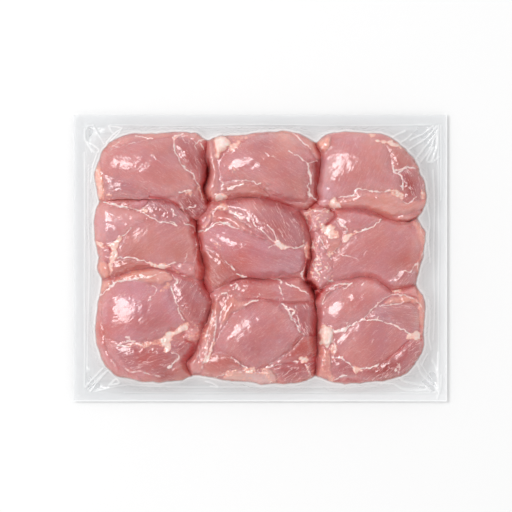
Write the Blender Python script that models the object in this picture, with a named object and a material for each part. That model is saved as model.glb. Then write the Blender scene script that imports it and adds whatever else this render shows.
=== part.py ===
"""A flat vacuum pack of nine folded boneless chicken leg pieces, as one closed solid.

The solid is the outside of the clear sealed bag: the film lies tight on the nine pieces, dips
into the creases between them, and runs out to a flat sealed flange all round. Metres, +Z up.
The origin is on the surface that the pack lies on, under the middle of the pack.
"""
import bmesh
import bpy
import numpy as np

# Driving sizes of the pack
PACK_LENGTH = 0.340
PACK_WIDTH = 0.261
FLANGE_TOP = 0.0042
FLANGE_THICKNESS = 0.0010
SEAL_WIDTH_LEFT = 0.0110
SEAL_WIDTH_RIGHT = 0.0086
SEAL_WIDTH_FRONT = 0.0078
SEAL_WIDTH_BACK = 0.0100

# Section of a piece of meat: how it swells from its outline, above and below its widest level
WIDEST_LEVEL = 0.0115
SHOULDER_HEIGHT = 0.0175
SHOULDER_RADIUS = 0.0150
UNDERSIDE_RADIUS = 0.0080

# A muscle's dome: near 0 it is a flat-topped step, at 0.5 it is half an ellipsoid
DOME_ROUNDNESS = 0.33

# The film: how far it is drawn into a crease, as a fall at each step of the grid
GRID_STEP = 0.0022
FILM_PULL_TOP = 0.00016
FILM_PULL_UNDER = 0.00010
FILM_SETTLING_STEPS = 500
FACES_KEPT = 0.125

CURVE_STEPS = 8
MEAT_COLOUR = (0.58, 0.23, 0.22, 1.0)
MEAT_ROUGHNESS = 0.28

# The plan of the meat was read off the top view in its pixels, where the pack is this long
PLAN_PACK_LENGTH = 373.5
PLAN_CENTRE = (260.25, 258.0)
PLAN_SCALE = PACK_LENGTH / PLAN_PACK_LENGTH

# The pieces are a1 to c3: rows a, b and c from back to front, columns 1 to 3 from left to right.
# Where their outlines meet, on the plan
CORNERS = {
    "rim_a1_a2": (209, 140),
    "rim_a2_a3": (314.5, 141),
    "rim_a3_b3": (418, 219),
    "rim_b3_c3": (417.5, 284),
    "rim_c2_c3": (314.5, 377),
    "rim_c1_c2": (194, 376),
    "rim_b1_c1": (101, 279),
    "rim_a1_b1": (98, 201),
    "a1_a2_b2": (210, 202),
    "a1_b1_b2": (197, 225),
    "a2_b2_b3": (300, 211),
    "a2_a3_b3": (317, 203),
    "b2_b3_c2": (308, 284),
    "b3_c2_c3": (314, 291),
    "b1_b2_c1": (203, 281),
    "b2_c1_c2": (211, 294),
}

# The creases and outer edges between those corners, each as its start, its bends and its end
EDGES = {
    "rim_a1": ("rim_a1_b1", [(94.6, 184), (96, 164), (107, 144.5), (130, 133.8), (168, 132), (194, 132)],
               "rim_a1_a2"),
    "rim_a2": ("rim_a1_a2", [(217, 135.5), (248, 134), (280, 130), (300, 134)], "rim_a2_a3"),
    "rim_a3": ("rim_a2_a3", [(334, 132), (360, 131.5), (388, 136), (413, 157), (425, 184), (427, 202)],
               "rim_a3_b3"),
    "rim_b3": ("rim_a3_b3", [(425.5, 231), (425, 250), (419, 270)], "rim_b3_c3"),
    "rim_c3": ("rim_b3_c3", [(426, 305), (424, 330), (423, 350), (405, 374), (375, 382), (340, 384)],
               "rim_c2_c3"),
    "rim_c2": ("rim_c2_c3", [(298, 383.5), (265, 385), (228, 381), (206, 377.5)], "rim_c1_c2"),
    "rim_c1": ("rim_c1_c2", [(172, 383), (130, 380), (105, 367), (94.5, 335), (97.5, 300)], "rim_b1_c1"),
    "rim_b1": ("rim_b1_c1", [(97, 269), (98, 258), (94, 235), (94.5, 212)], "rim_a1_b1"),
    "a1_a2": ("rim_a1_a2", [(205.5, 157), (208.5, 171), (204.5, 188)], "a1_a2_b2"),
    "a1_b2": ("a1_a2_b2", [(205, 212)], "a1_b1_b2"),
    "a1_b1": ("a1_b1_b2", [(190, 214), (168, 200), (140, 199)], "rim_a1_b1"),
    "a2_b2": ("a1_a2_b2", [(228, 200.5), (248, 196.8), (272, 201)], "a2_b2_b3"),
    "a2_b3": ("a2_b2_b3", [(308, 209)], "a2_a3_b3"),
    "a2_a3": ("a2_a3_b3", [(318.5, 190), (321, 170), (321, 155)], "rim_a2_a3"),
    "a3_b3": ("a2_a3_b3", [(328, 209), (360, 209.5), (380, 216), (403, 222)], "rim_a3_b3"),
    "b1_b2": ("a1_b1_b2", [(200, 248), (204, 270)], "b1_b2_c1"),
    "b1_c1": ("b1_b2_c1", [(190, 278), (170, 271), (148, 267.5), (121, 275)], "rim_b1_c1"),
    "b2_b3": ("a2_b2_b3", [(309, 230), (310, 252), (306.5, 272)], "b2_b3_c2"),
    "b2_c1": ("b1_b2_c1", [], "b2_c1_c2"),
    "b2_c2": ("b2_c1_c2", [(221, 287.5), (241, 277.5), (268, 279), (296, 275.5)], "b2_b3_c2"),
    "b3_c2": ("b2_b3_c2", [], "b3_c2_c3"),
    "b3_c3": ("b3_c2_c3", [(336, 281.5), (368, 276.5), (393, 290)], "rim_b3_c3"),
    "c1_c2": ("b2_c1_c2", [(212, 306), (202.5, 330), (193, 352), (187, 364)], "rim_c1_c2"),
    "c2_c3": ("b3_c2_c3", [(318, 313), (318, 350), (316, 366)], "rim_c2_c3"),
}

# Each piece of meat as the edges round it, and how high its middle stands above its shoulder
PIECES = {
    "a1": (["rim_a1", "a1_a2", "a1_b2", "a1_b1"], 0.0035),
    "a2": (["rim_a2", "a2_a3", "a2_b3", "a2_b2", "a1_a2"], 0.0045),
    "a3": (["rim_a3", "a3_b3", "a2_a3"], 0.0040),
    "b1": (["a1_b1", "b1_b2", "b1_c1", "rim_b1"], 0.0030),
    "b2": (["a2_b2", "b2_b3", "b2_c2", "b2_c1", "b1_b2", "a1_b2"], 0.0055),
    "b3": (["a2_b3", "a3_b3", "rim_b3", "b3_c3", "b3_c2", "b2_b3"], 0.0040),
    "c1": (["b1_c1", "b2_c1", "c1_c2", "rim_c1"], 0.0040),
    "c2": (["b2_c2", "b3_c2", "c2_c3", "rim_c2", "c1_c2"], 0.0045),
    "c3": (["b3_c3", "rim_c3", "c2_c3"], 0.0035),
}

# The main muscles that stand out on each piece: middle on the plan, half length, half width,
# turn in degrees from +X, and height, all sizes in metres
MUSCLES = {
    "a1": [((146, 168), 0.046, 0.027, -14, 0.0039), ((192, 164), 0.027, 0.012, -65, 0.0029),
           ((190, 204), 0.014, 0.008, -40, 0.0021), ((101, 184), 0.014, 0.006, 88, 0.0021)],
    "a2": [((263, 164), 0.045, 0.030, -18, 0.0044), ((218, 151), 0.013, 0.010, 75, 0.0039),
           ((243, 192), 0.021, 0.007, 4, 0.0026), ((315, 180), 0.018, 0.004, 88, 0.0021)],
    "a3": [((356, 163), 0.036, 0.029, -8, 0.0044), ((408, 183), 0.020, 0.012, 78, 0.0023),
           ((380, 203), 0.040, 0.009, -6, 0.0034)],
    "b1": [((116, 224), 0.023, 0.017, -8, 0.0034), ((158, 244), 0.036, 0.019, -4, 0.0039),
           ((166, 211), 0.024, 0.010, -18, 0.0023), ((134, 267), 0.020, 0.007, 10, 0.0023),
           ((104, 269), 0.008, 0.006, 80, 0.0018)],
    "b2": [((273, 221), 0.037, 0.021, -35, 0.0039), ((256, 253), 0.045, 0.021, -10, 0.0047),
           ((221, 266), 0.021, 0.014, -60, 0.0023)],
    "b3": [((354, 222), 0.020, 0.009, 10, 0.0021), ((375, 252), 0.040, 0.024, -6, 0.0047),
           ((320, 262), 0.024, 0.009, 84, 0.0026), ((403, 277), 0.014, 0.009, 30, 0.0023)],
    "c1": [((141, 276), 0.026, 0.007, 4, 0.0023), ((140, 313), 0.040, 0.027, 12, 0.0047),
           ((192, 304), 0.026, 0.016, -75, 0.0029), ((147, 360), 0.030, 0.012, 4, 0.0023)],
    "c2": [((262, 290), 0.043, 0.009, -2, 0.0023), ((257, 335), 0.036, 0.030, 25, 0.0049),
           ((303, 319), 0.014, 0.012, -60, 0.0026), ((293, 368), 0.020, 0.011, 15, 0.0023),
           ((214, 365), 0.014, 0.010, 60, 0.0021)],
    "c3": [((350, 304), 0.030, 0.020, 35, 0.0042), ((394, 316), 0.024, 0.013, -10, 0.0029),
           ((371, 342), 0.035, 0.020, 12, 0.0044), ((386, 367), 0.032, 0.013, 24, 0.0023)],
}


def on_pack(point):
    """The place on the pack, in metres, of a point of the plan."""
    return np.array([(point[0] - PLAN_CENTRE[0]) * PLAN_SCALE, (PLAN_CENTRE[1] - point[1]) * PLAN_SCALE])


def smooth_curve(points):
    """A Catmull-Rom curve through the points, without its last one."""
    padded = [2 * points[0] - points[1]] + points + [2 * points[-1] - points[-2]]
    curve = []
    for before, start, end, after in zip(padded, padded[1:], padded[2:], padded[3:]):
        for t in np.arange(CURVE_STEPS) / CURVE_STEPS:
            curve.append(0.5 * (2 * start + (end - before) * t
                                + (2 * before - 5 * start + 4 * end - after) * t ** 2
                                + (3 * start - before - 3 * end + after) * t ** 3))
    return curve


def edge_curve(name, reverse):
    """One crease or outer edge, from its start corner to its end corner or back."""
    start, bends, end = EDGES[name]
    points = [on_pack(p) for p in [CORNERS[start], *bends, CORNERS[end]]]
    if reverse:
        points.reverse()
    return smooth_curve(points)


def piece_outline(edge_names):
    """The closed outline of a piece: its edges chained head to tail."""
    first_ends = {EDGES[edge_names[0]][0], EDGES[edge_names[0]][2]}
    second_ends = {EDGES[edge_names[1]][0], EDGES[edge_names[1]][2]}
    corner = (first_ends - second_ends).pop()
    outline = []
    for name in edge_names:
        start, _, end = EDGES[name]
        outline += edge_curve(name, reverse=(corner != start))
        corner = end if corner == start else start
    return np.array(outline)


def depth_inside(x, y, outline):
    """How far each place lies inside the outline; negative outside it."""
    nearest = np.full(x.shape, np.inf)
    inside = np.zeros(x.shape, bool)
    for (ax, ay), (bx, by) in zip(outline, np.roll(outline, -1, axis=0)):
        run, rise = bx - ax, by - ay
        along = np.clip(((x - ax) * run + (y - ay) * rise) / (run * run + rise * rise), 0, 1)
        nearest = np.minimum(nearest, np.hypot(x - ax - along * run, y - ay - along * rise))
        if ay != by:
            crosses = (ay > y) != (by > y)
            inside ^= crosses & (x < ax + (y - ay) * run / rise)
    return np.where(inside, nearest, -nearest)


def swell(depth, radius):
    """A quarter-round section: 0 at the outline, 1 from one radius inside it."""
    return np.sqrt(1 - (1 - np.clip(depth / radius, 0, 1)) ** 2)


def muscle_relief(x, y, muscles):
    """The muscles of one piece as flattened domes; where two meet, a groove is left."""
    relief = np.zeros(x.shape)
    for middle, half_length, half_width, turn, height in muscles:
        cx, cy = on_pack(middle)
        angle = np.radians(turn)
        along = (x - cx) * np.cos(angle) + (y - cy) * np.sin(angle)
        across = (y - cy) * np.cos(angle) - (x - cx) * np.sin(angle)
        reach = np.clip(1 - (along / half_length) ** 2 - (across / half_width) ** 2, 0, 1)
        relief = np.maximum(relief, height * reach ** DOME_ROUNDNESS)
    return relief


def meat_surfaces(x, y):
    """Heights of the top and the underside of the bare meat; no meat gives the flange's height."""
    top = np.full(x.shape, FLANGE_TOP)
    under = np.full(x.shape, FLANGE_TOP - FLANGE_THICKNESS)
    for name, (edge_names, crown) in PIECES.items():
        outline = piece_outline(edge_names)
        depth = depth_inside(x, y, outline)
        meat = depth > 0
        spread = depth.max()
        body = (WIDEST_LEVEL + SHOULDER_HEIGHT * swell(depth, SHOULDER_RADIUS)
                + crown * swell(depth, spread) ** 2
                + muscle_relief(x, y, MUSCLES[name]))
        top = np.where(meat, body, top)
        under = np.where(meat, WIDEST_LEVEL * (1 - swell(depth, UNDERSIDE_RADIUS)), under)
    return top, under


def neighbour_mean(height):
    """The mean of the four neighbours of each inner grid point."""
    mean = height.copy()
    mean[1:-1, 1:-1] = (height[:-2, 1:-1] + height[2:, 1:-1] + height[1:-1, :-2] + height[1:-1, 2:]) / 4
    return mean


def film_surfaces(x, y):
    """The film over and under the meat: stretched like a skin, held flat in the sealed flange."""
    top, under = meat_surfaces(x, y)
    flange = ((x < -PACK_LENGTH / 2 + SEAL_WIDTH_LEFT) | (x > PACK_LENGTH / 2 - SEAL_WIDTH_RIGHT)
              | (y < -PACK_WIDTH / 2 + SEAL_WIDTH_FRONT) | (y > PACK_WIDTH / 2 - SEAL_WIDTH_BACK))
    film_top = top.copy()
    film_under = under.copy()
    for _ in range(FILM_SETTLING_STEPS):
        film_top = np.maximum(top, neighbour_mean(film_top) - FILM_PULL_TOP)
        film_top[flange] = FLANGE_TOP
        film_under = np.minimum(under, neighbour_mean(film_under) + FILM_PULL_UNDER)
        film_under[flange] = FLANGE_TOP - FLANGE_THICKNESS
    return film_top, film_under


def build_pack(collection):
    """The pack: a grid lifted to the film's top, closed by the same grid on its underside."""
    columns = round(PACK_LENGTH / GRID_STEP)
    rows = round(PACK_WIDTH / GRID_STEP)
    xs = np.linspace(-PACK_LENGTH / 2, PACK_LENGTH / 2, columns + 1)
    ys = np.linspace(-PACK_WIDTH / 2, PACK_WIDTH / 2, rows + 1)
    film_top, film_under = film_surfaces(*np.meshgrid(xs, ys))

    bm = bmesh.new()
    bmesh.ops.create_grid(bm, x_segments=columns, y_segments=rows, size=0.5)
    bmesh.ops.scale(bm, vec=(PACK_LENGTH, PACK_WIDTH, 1), verts=bm.verts)
    upper = list(bm.verts)
    extruded = bmesh.ops.extrude_face_region(bm, geom=bm.faces[:], use_keep_orig=True)
    lower = [item for item in extruded["geom"] if isinstance(item, bmesh.types.BMVert)]
    for verts, heights in ((upper, film_top), (lower, film_under)):
        for vert in verts:
            column = round((vert.co.x / PACK_LENGTH + 0.5) * columns)
            row = round((vert.co.y / PACK_WIDTH + 0.5) * rows)
            vert.co.z = heights[row, column]
    bmesh.ops.recalc_face_normals(bm, faces=bm.faces)
    bmesh.ops.triangulate(bm, faces=bm.faces)

    mesh = bpy.data.meshes.new("sealed_pack")
    bm.to_mesh(mesh)
    bm.free()
    mesh.shade_smooth()
    pack = bpy.data.objects.new("sealed_pack", mesh)
    collection.objects.link(pack)
    thinning = pack.modifiers.new("fewer_faces_where_flat", "DECIMATE")
    thinning.ratio = FACES_KEPT
    return pack


def meat_material():
    """Raw chicken leg under glossy film."""
    material = bpy.data.materials.new("raw_leg_meat")
    material.use_nodes = True
    shader = material.node_tree.nodes["Principled BSDF"]
    shader.inputs["Base Color"].default_value = MEAT_COLOUR
    shader.inputs["Roughness"].default_value = MEAT_ROUGHNESS
    shader.inputs["Metallic"].default_value = 0.0
    return material


def main():
    for old in list(bpy.data.objects):
        bpy.data.objects.remove(old, do_unlink=True)
    collection = bpy.data.collections.new("boneless_chicken_leg_pack")
    bpy.context.scene.collection.children.link(collection)
    pack = build_pack(collection)
    pack.data.materials.append(meat_material())


main()
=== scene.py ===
"""The looks of a flat vacuum pack of nine folded boneless chicken leg pieces.

The one solid of the frame, sealed_pack, is replaced by the nine pieces of meat and by the two webs
of clear film that are drawn tight over and under them and welded together all round.
"""

import bpy
import numpy as np
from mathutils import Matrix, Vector


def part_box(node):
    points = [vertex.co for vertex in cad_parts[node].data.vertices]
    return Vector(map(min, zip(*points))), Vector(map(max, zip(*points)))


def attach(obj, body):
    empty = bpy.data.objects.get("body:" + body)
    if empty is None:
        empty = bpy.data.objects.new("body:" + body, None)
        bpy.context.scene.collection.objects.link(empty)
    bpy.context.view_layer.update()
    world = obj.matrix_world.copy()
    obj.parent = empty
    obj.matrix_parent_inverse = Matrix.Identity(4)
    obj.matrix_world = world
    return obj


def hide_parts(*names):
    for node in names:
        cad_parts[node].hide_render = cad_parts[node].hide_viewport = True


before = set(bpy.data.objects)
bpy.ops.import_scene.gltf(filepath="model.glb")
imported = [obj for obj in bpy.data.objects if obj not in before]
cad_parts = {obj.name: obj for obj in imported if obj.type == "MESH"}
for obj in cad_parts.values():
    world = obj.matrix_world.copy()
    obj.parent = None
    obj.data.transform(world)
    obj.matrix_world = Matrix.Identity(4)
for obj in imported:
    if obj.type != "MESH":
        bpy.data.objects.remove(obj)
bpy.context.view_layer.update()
NODE = "sealed_pack"
BODY = "root"
MM = 0.001

# Driving sizes, as in the solid
(LEFT, FRONT, _), (RIGHT, BACK, _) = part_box(NODE)
PACK_LENGTH = RIGHT - LEFT
PACK_WIDTH = BACK - FRONT
FLANGE_TOP = 4.2 * MM
FLANGE_THICKNESS = 0.5 * MM
SEAL_LEFT, SEAL_RIGHT, SEAL_FRONT, SEAL_BACK = 11.0 * MM, 8.6 * MM, 7.8 * MM, 10.0 * MM

# Section of a piece of meat; its crown rises partly from the outline and partly to a peak in the middle
WIDEST_LEVEL = 10.5 * MM
SHOULDER_HEIGHT = 14.4 * MM
SHOULDER_RADIUS = 15.0 * MM
RIM_LIP = 1.3 * MM
CROWN_RISE = 1.5 * MM
CROWN_RADIUS = 40 * MM
CROWN_SIDES, CROWN_PEAK, PEAK_POWER = 0.3, 1.15, 0.75
CREASE_FALL_LIT, CREASE_FALL_SHADED = 5.2 * MM, 10.0 * MM
CREASE_ROUNDING, CREASE_POWER = 1.4 * MM, 2.2
UNDERSIDE_RADIUS = 8.0 * MM
CREASE_GAP = 0.04 * MM

# Relief over that section; a muscle's own section is part edge and part body
MUSCLE_SCALE, MUSCLE_EDGE, MUSCLE_BODY = 1.25, 0.45, 0.55
FAT_RISE, SINEW_RISE, PIT_DEPTH = 0.9 * MM, 0.7 * MM, 2.2 * MM
FINE_RISE, BROAD_RISE = 0.04 * MM, 0.22 * MM
KNOT_RISE, SMALL_KNOT_RISE = 0.9 * MM, 0.5 * MM

# How much painted shade pits, creases between pieces, edges of muscles, hollows and undersides get
PIT_SHADE, CREASE_SHADE_STRENGTH, MUSCLE_EDGE_SHADE, HOLLOW_SHADE, UNDERSIDE_SHADE = 0.8, 0.9, 0.3, 0.35, 0.3

# Meat's edge round the pack: paler, partly its own colour and partly painted light, with painted light at its
# very edge. The faint white beside a seam of sinew
RIM_PALE_AND_LIT, RIM_PALE_AND_LIT_WIDTH = 0.6, 3.5 * MM
RIM_EDGE_LIGHT, RIM_EDGE_LIGHT_WIDTH = 0.8, 1.4 * MM
SINEW_VEIL, SINEW_VEIL_WIDTH = 0.28, 1.6 * MM

# Meshes
TOP_CELLS = 168
RIM_CROWDING = 0.1
REACH_SPREAD = 16
WALL_RINGS = 3
WALL_SLANT = 0.004
BASE_RINGS = 10
RASTER_STEP = 0.9 * MM
FINE_CELL, COARSE_CELL = 0.65 * MM, 1.5 * MM
FINE_BORDER_X, FINE_BORDER_Y = 50 * MM, 34 * MM
BASE_CELL = 2.2 * MM
CURVE_STEPS = 9
NOISE_CELLS = 64

# How far round a patch or a fold it is worked out
PATCH_MARGIN = 4 * MM
FOLD_MARGIN = 6 * MM

# Amounts too small to see, against division by zero and gaps where two sides of an outline meet
TINY = 1e-15
LEAST_SQUARE = 1e-12
HAIR = 1e-9

# Film
FILM_CLEARANCE = 0.22 * MM
TABLE_GAP = 0.05 * MM
FILM_SAG = 1 * MM
FILM_PULL = 0.085 * MM
BORDER_PULL = 0.016 * MM
UNDER_PULL = 0.4 * FILM_PULL
FILM_STEPS = 420
RIPPLE_RISE = 0.4 * MM
FOLD_SHADOW = 0.9 * MM
FILM_MIRROR, FILM_SLANT_MIRROR = 0.06, 0.8
FILM_GLOSS_ON_MEAT = 0.06
SEAL_DULLNESS, CREASE_DULLNESS = 0.8, 0.95
FILM_ROUGHNESS = 0.10
BORDER_HAZE = 0.76
UNDER_HAZE = 0.5 * BORDER_HAZE
MOST_HAZE = 0.97
FILM_GLOW = 0.22
STREAK_DRIFT = 30 * MM
STREAK_STRETCH = 3.4
STREAK_TURN = np.radians(38)

# Table and light
TABLE_SIDE = 8.0
TABLE_WHITE = 0.88
SKY_SIDE, SKY_TOP = 0.888, 0.36
SKY_FADE_START, SKY_FADE_END = 0.80, 0.97
KEY_PLACE, KEY_TARGET = (-1.9, 0.85, 3.4), (0, 0, 0.02)
KEY_SIDE = 1.9
KEY_POWER = 72.0
SHADE_WAY = np.array([0.84, -0.54])

# The plan was read off the photograph in its pixels, where the pack is this long and centred here
PLAN_LENGTH = 373.5
PLAN_CENTRE = (260.25, 258.0)
PLAN_SCALE = PACK_LENGTH / PLAN_LENGTH
PICTURE_SIDE = 512
CAMERA_DISTANCE = 5.0
SENSOR = 36.0


def plan(points):
    """Places on the pack, in metres, of points of the plan."""
    points = np.asarray(points, float)
    return (points - PLAN_CENTRE) * (PLAN_SCALE, -PLAN_SCALE)


def linear(red, green, blue):
    """A screen colour, 0 to 255, as the light it stands for."""
    value = np.array([red, green, blue]) / 255
    return np.where(value <= 0.04045, value / 12.92, ((value + 0.055) / 1.055) ** 2.4)


def paint(red, green, blue):
    """A screen colour as a material takes it."""
    return (*linear(red, green, blue), 1)


# The flesh colours, as they look in the pack's light
COLOURS = {
    "mauve": linear(208, 139, 147),
    "lilac": linear(198, 138, 142),
    "rose": linear(208, 138, 139),
    "blush": linear(221, 160, 161),
    "salmon": linear(217, 153, 147),
    "apricot": linear(228, 166, 152),
    "brick": linear(197, 122, 115),
    "dusk": linear(189, 112, 115),
    "coral": linear(200, 97, 91),
    # wine, the darkest red, lies mostly at the lower and right sides of pieces and beside deep creases, where
    # it is partly painted shade
    "wine": linear(164, 57, 55),
    "cream": linear(243, 219, 206),
    "peach": linear(232, 176, 164),
    # glow and rim serve only the painted light on the meat's edge round the pack; peach serves it too
    "glow": linear(244, 160, 146),
    # pearl paints light on the lit left edge of a3
    "pearl_painted_light": linear(222, 182, 190),
    "silver": linear(222, 184, 176),
    "rim": linear(255, 216, 202),
}

# The colours of fibre, fat and sinew, of painted shade in creases and pits, and of the film, its milk greyer
# in painted shade and whiter in painted light
PALE_FIBRE = paint(236, 186, 184)
FAT_LIGHT, FAT_DEEP, FAT_BORDER = paint(252, 230, 222), paint(244, 202, 188), paint(238, 170, 152)
SINEW_WHITE = paint(252, 224, 218)
SHADE_RED = (0.56, 0.014, 0.014, 1)
DEEP_SHADE_RED = (0.16, 0.008, 0.010, 1)
FILM_CLEAR = (0.97, 0.97, 0.975, 1)
FILM_GREY, FILM_WHITE = (0.785, 0.80, 0.812, 1), (0.985, 0.99, 0.995, 1)

# What is left of a flesh colour where it is warmer, cooler or deeper, and what the painted red shade
# beside a crease takes from its red, green and blue
WARM_SHARE = (1.0, 0.905, 0.845, 1)
COOL_SHARE = (0.97, 0.932, 0.966, 1)
DEEPER_SHARE = (0.90, 0.77, 0.76, 1)
SHADE_RED_LOSS = np.array([-0.06, 0.24, 0.30])

# How plainly muscles of these colours show their fibres, how plainly the others do, and how far apart
# the grain of muscles of different heights starts
STRIPES = {"dusk": 1.0, "lilac": 0.65, "brick": 0.55}
PLAIN_STRIPES = 0.35
GRAIN_SHIFT = 7

# The pieces are a1 to c3: rows a, b and c from back to front, columns 1 to 3 from left to right.
# Where their outlines meet, on the plan
CORNERS = {
    "rim_a1_a2": (209, 140), "rim_a2_a3": (314.5, 141), "rim_a3_b3": (418, 219), "rim_b3_c3": (417.5, 284),
    "rim_c2_c3": (314.5, 377), "rim_c1_c2": (194, 376), "rim_b1_c1": (101, 279), "rim_a1_b1": (98, 201),
    "a1_a2_b2": (210, 202), "a1_b1_b2": (196, 220), "a2_b2_b3": (300, 211), "a2_a3_b3": (317, 203),
    "b2_b3_c2": (307, 281), "b3_c2_c3": (314, 291), "b1_b2_c1": (203, 281), "b2_c1_c2": (211, 294),
}

# The creases and outer edges between those corners, each as its start, its bends and its end
EDGES = {
    "rim_a1": ("rim_a1_b1", [(94.6, 184), (96, 164), (107, 144.5), (130, 133.8), (168, 132), (194, 132)],
               "rim_a1_a2"),
    "rim_a2": ("rim_a1_a2", [(217, 135.5), (248, 134), (280, 130), (300, 134)], "rim_a2_a3"),
    "rim_a3": ("rim_a2_a3", [(334, 132), (360, 131.5), (388, 136), (413, 157), (425, 184), (427, 202)],
               "rim_a3_b3"),
    "rim_b3": ("rim_a3_b3", [(425.5, 231), (425, 250), (419, 270)], "rim_b3_c3"),
    "rim_c3": ("rim_b3_c3", [(426, 305), (424, 330), (423, 350), (405, 374), (375, 382), (340, 384)],
               "rim_c2_c3"),
    "rim_c2": ("rim_c2_c3", [(298, 383.5), (265, 385), (228, 381), (206, 377.5)], "rim_c1_c2"),
    "rim_c1": ("rim_c1_c2", [(172, 383), (130, 380), (105, 367), (94.5, 335), (97.5, 300)], "rim_b1_c1"),
    "rim_b1": ("rim_b1_c1", [(97, 269), (98, 258), (94, 235), (94.5, 212)], "rim_a1_b1"),
    "a1_a2": ("rim_a1_a2", [(205.5, 157), (208.5, 171), (204.5, 188)], "a1_a2_b2"),
    "a1_b2": ("a1_a2_b2", [(205, 212)], "a1_b1_b2"),
    "a1_b1": ("a1_b1_b2", [(186, 213), (168, 201), (140, 199)], "rim_a1_b1"),
    "a2_b2": ("a1_a2_b2", [(228, 200.5), (248, 196.8), (272, 201)], "a2_b2_b3"),
    "a2_b3": ("a2_b2_b3", [(308, 209)], "a2_a3_b3"),
    "a2_a3": ("a2_a3_b3", [(317.5, 190), (319.5, 170), (320, 155)], "rim_a2_a3"),
    "a3_b3": ("a2_a3_b3", [(328, 209), (360, 209.5), (380, 216), (403, 222)], "rim_a3_b3"),
    "b1_b2": ("a1_b1_b2", [(197.5, 232), (200, 245), (202, 258), (205, 270)], "b1_b2_c1"),
    "b1_c1": ("b1_b2_c1", [(190, 278), (170, 271), (148, 267.5), (121, 275)], "rim_b1_c1"),
    "b2_b3": ("a2_b2_b3", [(309, 230), (311.5, 252), (308, 270)], "b2_b3_c2"),
    "b2_c1": ("b1_b2_c1", [], "b2_c1_c2"),
    "b2_c2": ("b2_c1_c2", [(221, 287.5), (241, 277.5), (268, 279), (292, 277.5)], "b2_b3_c2"),
    "b3_c2": ("b2_b3_c2", [], "b3_c2_c3"),
    "b3_c3": ("b3_c2_c3", [(336, 281.5), (368, 276.5), (393, 290)], "rim_b3_c3"),
    "c1_c2": ("b2_c1_c2", [(212, 306), (203.5, 330), (194, 352), (187, 364)], "rim_c1_c2"),
    "c2_c3": ("b3_c2_c3", [(317, 313), (316.5, 350), (315.5, 366)], "rim_c2_c3"),
}

RIMS = ["rim_a1", "rim_a2", "rim_a3", "rim_b3", "rim_c3", "rim_c2", "rim_c1", "rim_b1"]

# Each piece of meat as the edges round it, and how high its middle stands above its shoulder
PIECES = {
    "a1": (["rim_a1", "a1_a2", "a1_b2", "a1_b1"], 3.5 * MM),
    "a2": (["rim_a2", "a2_a3", "a2_b3", "a2_b2", "a1_a2"], 4.5 * MM),
    "a3": (["rim_a3", "a3_b3", "a2_a3"], 3.0 * MM),
    "b1": (["a1_b1", "b1_b2", "b1_c1", "rim_b1"], 1.6 * MM),
    "b2": (["a2_b2", "b2_b3", "b2_c2", "b2_c1", "b1_b2", "a1_b2"], 5.5 * MM),
    "b3": (["a2_b3", "a3_b3", "rim_b3", "b3_c3", "b3_c2", "b2_b3"], 2.4 * MM),
    "c1": (["b1_c1", "b2_c1", "c1_c2", "rim_c1"], 4.0 * MM),
    "c2": (["b2_c2", "b3_c2", "c2_c3", "rim_c2", "c1_c2"], 3.5 * MM),
    "c3": (["b3_c3", "rim_c3", "c2_c3"], 2.4 * MM),
}

# How far each crease between two pieces drops, as a share of the shoulder's height
CREASE_DROPS = {
    "a1_a2": 0.66, "a1_b2": 0.34, "a1_b1": 0.13, "a2_b2": 0.36, "a2_b3": 0.50, "a2_a3": 0.54, "a3_b3": 0.28,
    "b1_b2": 0.66, "b1_c1": 0.24, "b2_b3": 0.57, "b2_c1": 0.68, "b2_c2": 0.22, "b3_c2": 0.78, "b3_c3": 0.32,
    "c1_c2": 0.46, "c2_c3": 0.64,
}

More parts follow.
